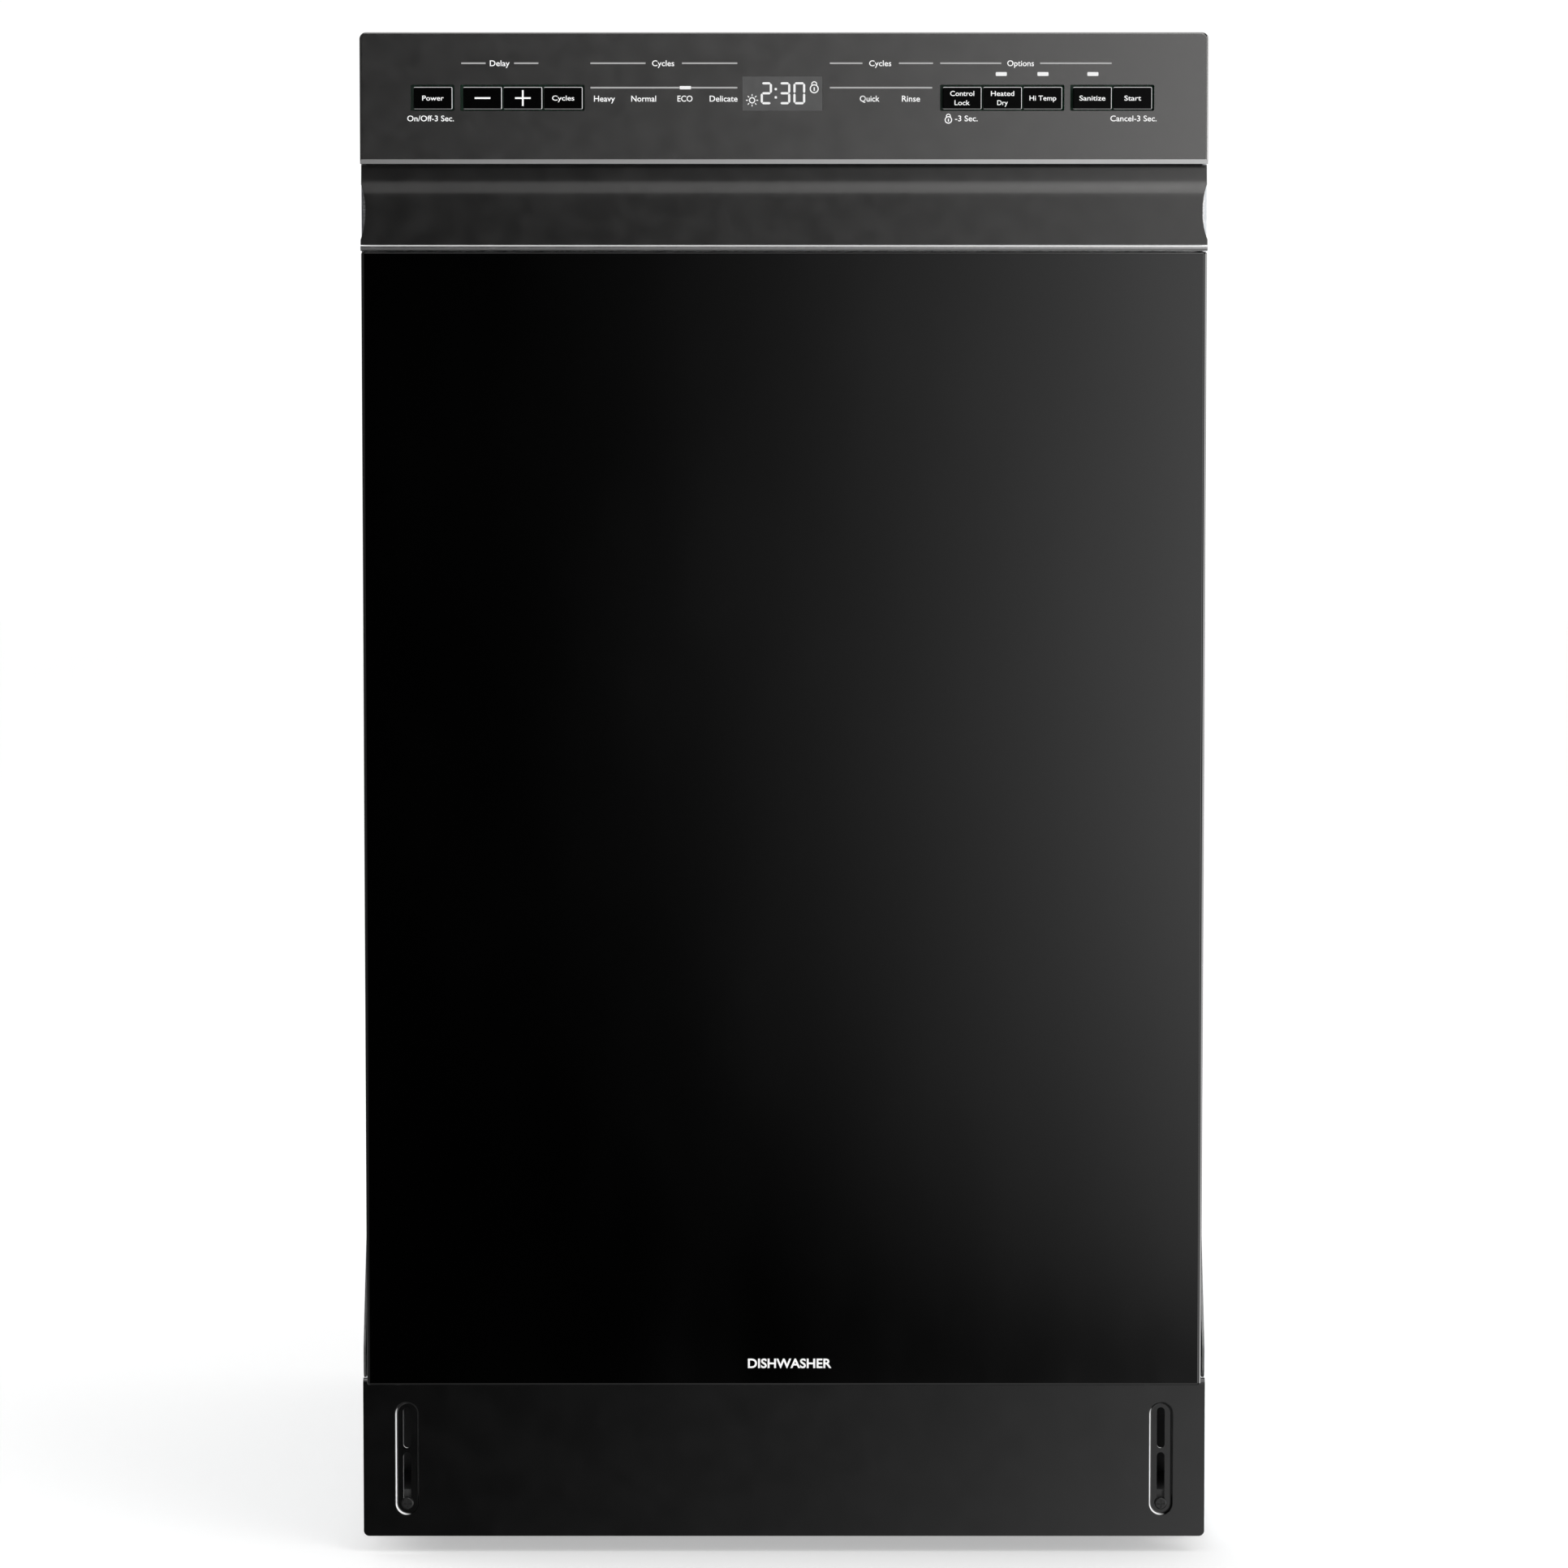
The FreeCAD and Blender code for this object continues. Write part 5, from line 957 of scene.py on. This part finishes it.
def upper_rack():
    low, high = corners_mm("upper_rack")
    z, y0, y1 = low.z + WIRE, low.y + 2 * RIM + WIRE, high.y - 2 * RIM - WIRE
    build, rows = basket_wires(RACK_HALF, y0, y1, z, 600.0, 12, 9, (z + 62, 597.0))
    for x in (-45.0, 45.0):
        tine_row(build, x, rows[1:-1], z + WIRE, 62.0)
    made = fitted("upper_rack_wires", build, "rack_coating", "upper_rack")
    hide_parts("upper_rack")
    rail_z = sum(corners_mm("upper_rails")[k].z for k in (0, 1)) / 2
    runners = Builder()
    for side in (-1, 1):
        for y in (-15.0, 192.0):
            x0, x1 = sorted((side * 179.2, side * 182.6))
            runners.block((x0, y - 22, rail_z - 16), (x1, y + 22, rail_z + 12), 1.2, 0)
            runners.block((x0 - 0.4, y - 14, rail_z - 13), (x1 + 0.4, y + 14, rail_z - 10), 0.5, 0)
            hub = (side * 187.2, y, rail_z)
            wheel = [(0, 3.0), (0, 6.9), (0.8, 8.1), (3.6, 8.1), (4.4, 6.9), (4.4, 4.8), (3.4, 4.4), (3.4, 3.0)]
            runners.turned([(side * along, radius) for along, radius in wheel], hub, 0)
            pin = [(-4.8, 3.0), (4.6, 3.0), (5.2, 2.2)]
            runners.turned([(side * along, radius) for along, radius in pin], hub, 0, 20)
    for y in (-160.0, 146.0):
        runners.block((-172.4, y - 20, 537), (-170.4, y + 20, 547), 0.7, 0)
        runners.block((-171.0, y - 4, 537.4), (-166.2, y + 4, 546.6), 0.8, 1)
    fitted("upper_rack_runners", runners, "grey_plastic", "upper_rack")


def lower_rack():
    low, high = corners_mm("lower_rack")
    y0, y1 = low.y + 2 * RIM + WIRE, high.y - 2 * RIM - WIRE
    z = 168.6
    build, rows = basket_wires(RACK_HALF, y0, y1, z, 290.0, 11, 9, (z + 44, 287.0))
    for x in (-125.0, -60.0, 20.0):
        tine_row(build, x, rows[:-1], z + WIRE, 78.0)
    tine_row(build, 85.0, rows[:-1], z + WIRE, 62.0)
    tine_row(build, 128.0, rows[6:-1], z + WIRE, 62.0)
    made = fitted("lower_rack_wires", build, "rack_coating", "lower_rack")
    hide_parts("lower_rack")
    wheel_low, wheel_high = corners_mm("rack_wheels_front")
    axle_z = (wheel_low.z + wheel_high.z) / 2
    carriers = Builder()
    for side in (-1, 1):
        for y in (-150.0, 150.0):
            x0, x1 = sorted((side * 176.0, side * 184.0))
            carriers.block((x0, y - 20, axle_z - 6), (x1, y + 20, axle_z + 6), 1.6, 0)
            carriers.block((x0 + 1.5, y - 12, axle_z + 5.5), (x1 - 1.5, y + 12, axle_z + 16), 1.0, 0)
            axle = [(0, 3.0), (11.0, 3.0), (11.0, 4.4), (12.4, 4.0), (13.0, 2.4)]
            axle = [(side * along, radius) for along, radius in axle]
            carriers.turned(axle, (side * 184.0, y, axle_z), 0, 24)
    fitted("wheel_carriers", carriers, "grey_plastic", "lower_rack")


def cup_shelf():
    """A wire frame bent round in one loop, with cross wires and a rolled outer edge."""
    y0, y1 = (corner.y for corner in corners_mm("cup_shelf"))
    x, z, reach, frame_wire = -164.0, 542.0, 74.0, 1.8
    front, back, tip = y0 + frame_wire, y1 - frame_wire, x + reach - 4
    build = Builder()
    build.wire(rounded_path([(x, front, z), (tip, front, z), (tip, back, z), (x, back, z)], 12.0), frame_wire)
    build.wire([(x, y0, z), (x, y1, z)], frame_wire)
    build.wire([(x + reach / 2, y0 + 2, z), (x + reach / 2, y1 - 2, z)], frame_wire)
    lift = z + frame_wire + WIRE
    for y in spread(y0 + 8, y1 - 8, 9):
        build.wire([(x - 1, y, lift), (x + reach * 0.5, y, lift), (x + reach - 1, y, lift)], WIRE)
    made = fitted("cup_shelf_wires", build, "rack_coating", "cup_shelf")
    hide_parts("cup_shelf")


upper_rack()
lower_rack()
cup_shelf()


# ---- felt, seal and springs ---------------------------------------------------------------
def sound_blanket():
    """Felt draped over the tub: puffed between its fixing studs, thin and ragged at the edges."""
    low, high = corners_mm("sound_blanket")
    thick, corner, half = 11.0, 12.0, 204.0
    inner_top, inner_back = high.z - thick, high.y - thick
    run_top, run_back = inner_back - low.y - corner, inner_top - low.z - corner
    turn = corner * math.pi / 2
    total = run_top + turn + run_back
    count_s, count_x = 170, 96
    stud_rows = (40, run_top * 0.62, run_top + turn + 150, total - 130)
    studs = [(x, s) for x in (-150, 0, 150) for s in stud_rows]

    def point(s, x, out):
        """The point at distance s along the drape, and out from the tub's side of the felt."""
        if s < run_top:
            return Vector((x, low.y + s, inner_top + out))
        if s < run_top + turn:
            a = (s - run_top) / corner
            radius = corner + out
            back, up = radius * math.sin(a), radius * math.cos(a)
            return Vector((x, inner_back - corner + back, inner_top - corner + up))
        return Vector((x, inner_back + out, inner_top - corner - (s - run_top - turn)))

    def thickness(s, x):
        edge = min(s, total - s, half - abs(x))
        puff = 6.8 + 3.0 * noise.noise(Vector((x / 55, s / 60, 1.7)))
        puff += 1.2 * noise.noise(Vector((x / 17, s / 19, 5)))
        for stud_x, stud_s in studs:
            away = math.hypot(x - stud_x, s - stud_s)
            puff -= 5.0 * math.exp(-(away / 24) ** 2)
        return max(1.6, min(10.6, puff)) * (0.35 + 0.65 * min(1, edge / 14)) + 0.3

    bm = bmesh.new()
    sheets = []
    for face in (0, 1):
        rows = []
        for j in range(count_s + 1):
            s = total * j / count_s
            row = []
            for i in range(count_x + 1):
                x = half * (2 * i / count_x - 1)
                frayed = 1.0 - 0.006 * (1 + noise.noise(Vector((s / 23, x / 40, 9))))
                out = thickness(s, x) if face else 0.2
                row.append(bm.verts.new(point(s, x * frayed, out) * MM))
            rows.append(row)
        sheets.append(rows)
        for a, b in zip(rows, rows[1:]):
            for i in range(count_x):
                quad = (a[i], a[i + 1], b[i + 1], b[i])
                bm.faces.new(quad if face else quad[::-1])
    inner, outer = sheets
    for i in range(count_x):
        bm.faces.new((inner[0][i], inner[0][i + 1], outer[0][i + 1], outer[0][i]))
        bm.faces.new((outer[-1][i], outer[-1][i + 1], inner[-1][i + 1], inner[-1][i]))
    for j in range(count_s):
        bm.faces.new((inner[j][0], outer[j][0], outer[j + 1][0], inner[j + 1][0]))
        bm.faces.new((outer[j][-1], inner[j][-1], inner[j + 1][-1], outer[j + 1][-1]))
    bmesh.ops.recalc_face_normals(bm, faces=bm.faces)
    mesh = bpy.data.meshes.new("felt_blanket")
    bm.to_mesh(mesh)
    bm.free()
    made = piece("felt_blanket", mesh, slot_finish["felt"], "cabinet")
    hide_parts("sound_blanket")
    buttons = Builder()
    cap = [(0.2, 9.0), (1.1, 8.4), (1.6, 5.0), (1.8, 1.2)]
    for x, s in studs:
        buttons.turned(cap, point(s, x, thickness(s, x)), 2 if s < run_top else 1, 28)
    fitted("felt_studs", buttons, "white_plastic", "cabinet")


def door_seal():
    """Extruded seal: a hollow-looking bulb on a ribbed foot, swept up both sides and over the top."""
    low, high = corners_mm("tub_gasket")
    depth = high.y - low.y
    mid_x, top = high.x - 4.2, high.z - 4.2
    section = []
    for k in range(20):
        a = 2 * math.pi * k / 20
        bulge = 4.1 if math.sin(a) < 0 else 3.6 + 0.5 * math.cos(4 * a)
        section.append((bulge * math.cos(a), depth / 2 * math.sin(a) * (0.98 if math.sin(a) < 0 else 0.9)))
    corners = [(-mid_x, 0, low.z), (-mid_x, 0, top), (mid_x, 0, top), (mid_x, 0, low.z)]
    path = rounded_path(corners, 22.0, steps=16)
    fine = []
    for a, b in zip(path, path[1:]):
        pieces = max(1, int((b - a).length / 20))
        fine += [a.lerp(b, k / pieces) for k in range(pieces)]
    fine.append(path[-1])
    build = Builder()
    rings = []
    middle_y = (low.y + high.y) / 2
    for k, spot in enumerate(fine):
        along = (fine[min(k + 1, len(fine) - 1)] - fine[max(k - 1, 0)]).normalized()
        aside = Vector((along.z, 0, -along.x))
        squeeze = 1 + 0.012 * noise.noise(Vector((k * 0.7, 0, 3)))
        rings.append([Vector((spot.x, middle_y, spot.z)) + aside * s * squeeze + Vector((0, t, 0))
                      for s, t in section])
    build.loft(rings)
    made = fitted("door_seal", build, "rubber", "cabinet")
    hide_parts("tub_gasket")


def balance_springs():
    """Close-wound tension springs with hooked ends, and the cords that lead round the pulleys to the door."""
    low, high = corners_mm("door_springs")
    outer = 7.0
    spring_x, spring_z = high.x - outer, low.z + outer
    start, end = -194.0, high.y - 8.0
    wire, mean, pitch = 1.05, 5.7, 2.5
    turns, sides, hook_steps = int((end - start) / pitch), 14, 22
    springs = Builder()
    anchors = Builder()
    for side in (-1, 1):
        x = side * spring_x
        helix = []
        for k in range(turns * sides + 1):
            a = 2 * math.pi * k / sides
            helix.append((x + mean * math.cos(a), start + pitch * k / sides, spring_z + mean * math.sin(a)))
        springs.wire(helix, wire, 6)
        for end_y, sign in ((start, -1), (end, 1)):
            hook = []
            for k in range(17):
                f, a = k / 16, 2 * math.pi * k / hook_steps
                hook.append((x + mean * math.cos(a) * (1 - 0.4 * f), end_y + sign * (1 + 5 * f),
                             spring_z + mean * math.sin(a)))
            springs.wire(hook, wire, 6)
        anchors.block((x - 5, end + 3.0, spring_z - 5.5), (x + 5, end + 5.2, spring_z + 8), 0.6, 1)
    made = fitted("balance_springs", springs, "spring_steel", "cabinet")
    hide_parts("door_springs")
    fitted("spring_anchors", anchors, "galvanised", "cabinet")
    pulley_y, pulley_z, pulley_r = -238.0, 47.0, 9.0
    hook_z = 61.8
    cords = Builder()
    for side in (-1, 1):
        x = side * spring_x
        path = [Vector((x, pulley_y - pulley_r, z)) for z in spread(hook_z, pulley_z, 16)]
        path += [Vector((x, pulley_y - pulley_r * math.cos(a), pulley_z - pulley_r * math.sin(a)))
                 for a in (math.pi / 2 * k / 10 for k in range(1, 11))]
        path += [Vector((x, y, spring_z)) for y in (-225.0, -212.0, -200.0)]
        cords.wire(path, 1.2, 10)
    made = piece("spring_cords", cords.mesh("spring_cords"), cord_finish, None)
    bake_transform(made)


sound_blanket()
door_seal()
balance_springs()


# ---- fasteners ----------------------------------------------------------------------------
def screw_head(build, centre, axis, way, radius=3.6):
    """A pan head with a round recess. way is its height as a share of a full head's, and is negative for
    a head that faces down the axis."""
    profile = ((0.0, 1.0), (0.9, 1.0), (1.7, 0.82), (2.0, 0.5), (1.1, 0.46))
    rings = [(along * way, radius * share) for along, share in profile]
    build.turned(rings + [(1.0 * way, 0.3)], centre, axis, 24)


def add_fasteners():
    liner_back = corners_mm("door_liner")[1].y
    inner = Builder()
    for x in (-190.0, 190.0):
        for z in (190.0, 360.0, 560.0, 740.0):
            screw_head(inner, (x, liner_back, z), 1, 0.4, 3.4)
    fitted("liner_screws", inner, "bright_steel", "door")
    side_high = corners_mm("side_panel_right")[1]
    outer = Builder()
    beside = [(y, 60.0) for y in (-190.0, 190.0)] + [(-232.0, z) for z in (300.0, 520.0, 740.0)]
    beside += [(278.0, z) for z in (740.0, 420.0)]
    for side in (-1, 1):
        for y, z in beside:
            screw_head(outer, (side * side_high.x, y, z), 0, side * 0.35, 4.0)
    for x in (-210.0, 210.0):
        for z in (130.0, 420.0, 740.0):
            screw_head(outer, (x, side_high.y, z), 1, 0.5)
    fitted("cabinet_screws", outer, "bright_steel", "cabinet")


add_fasteners()
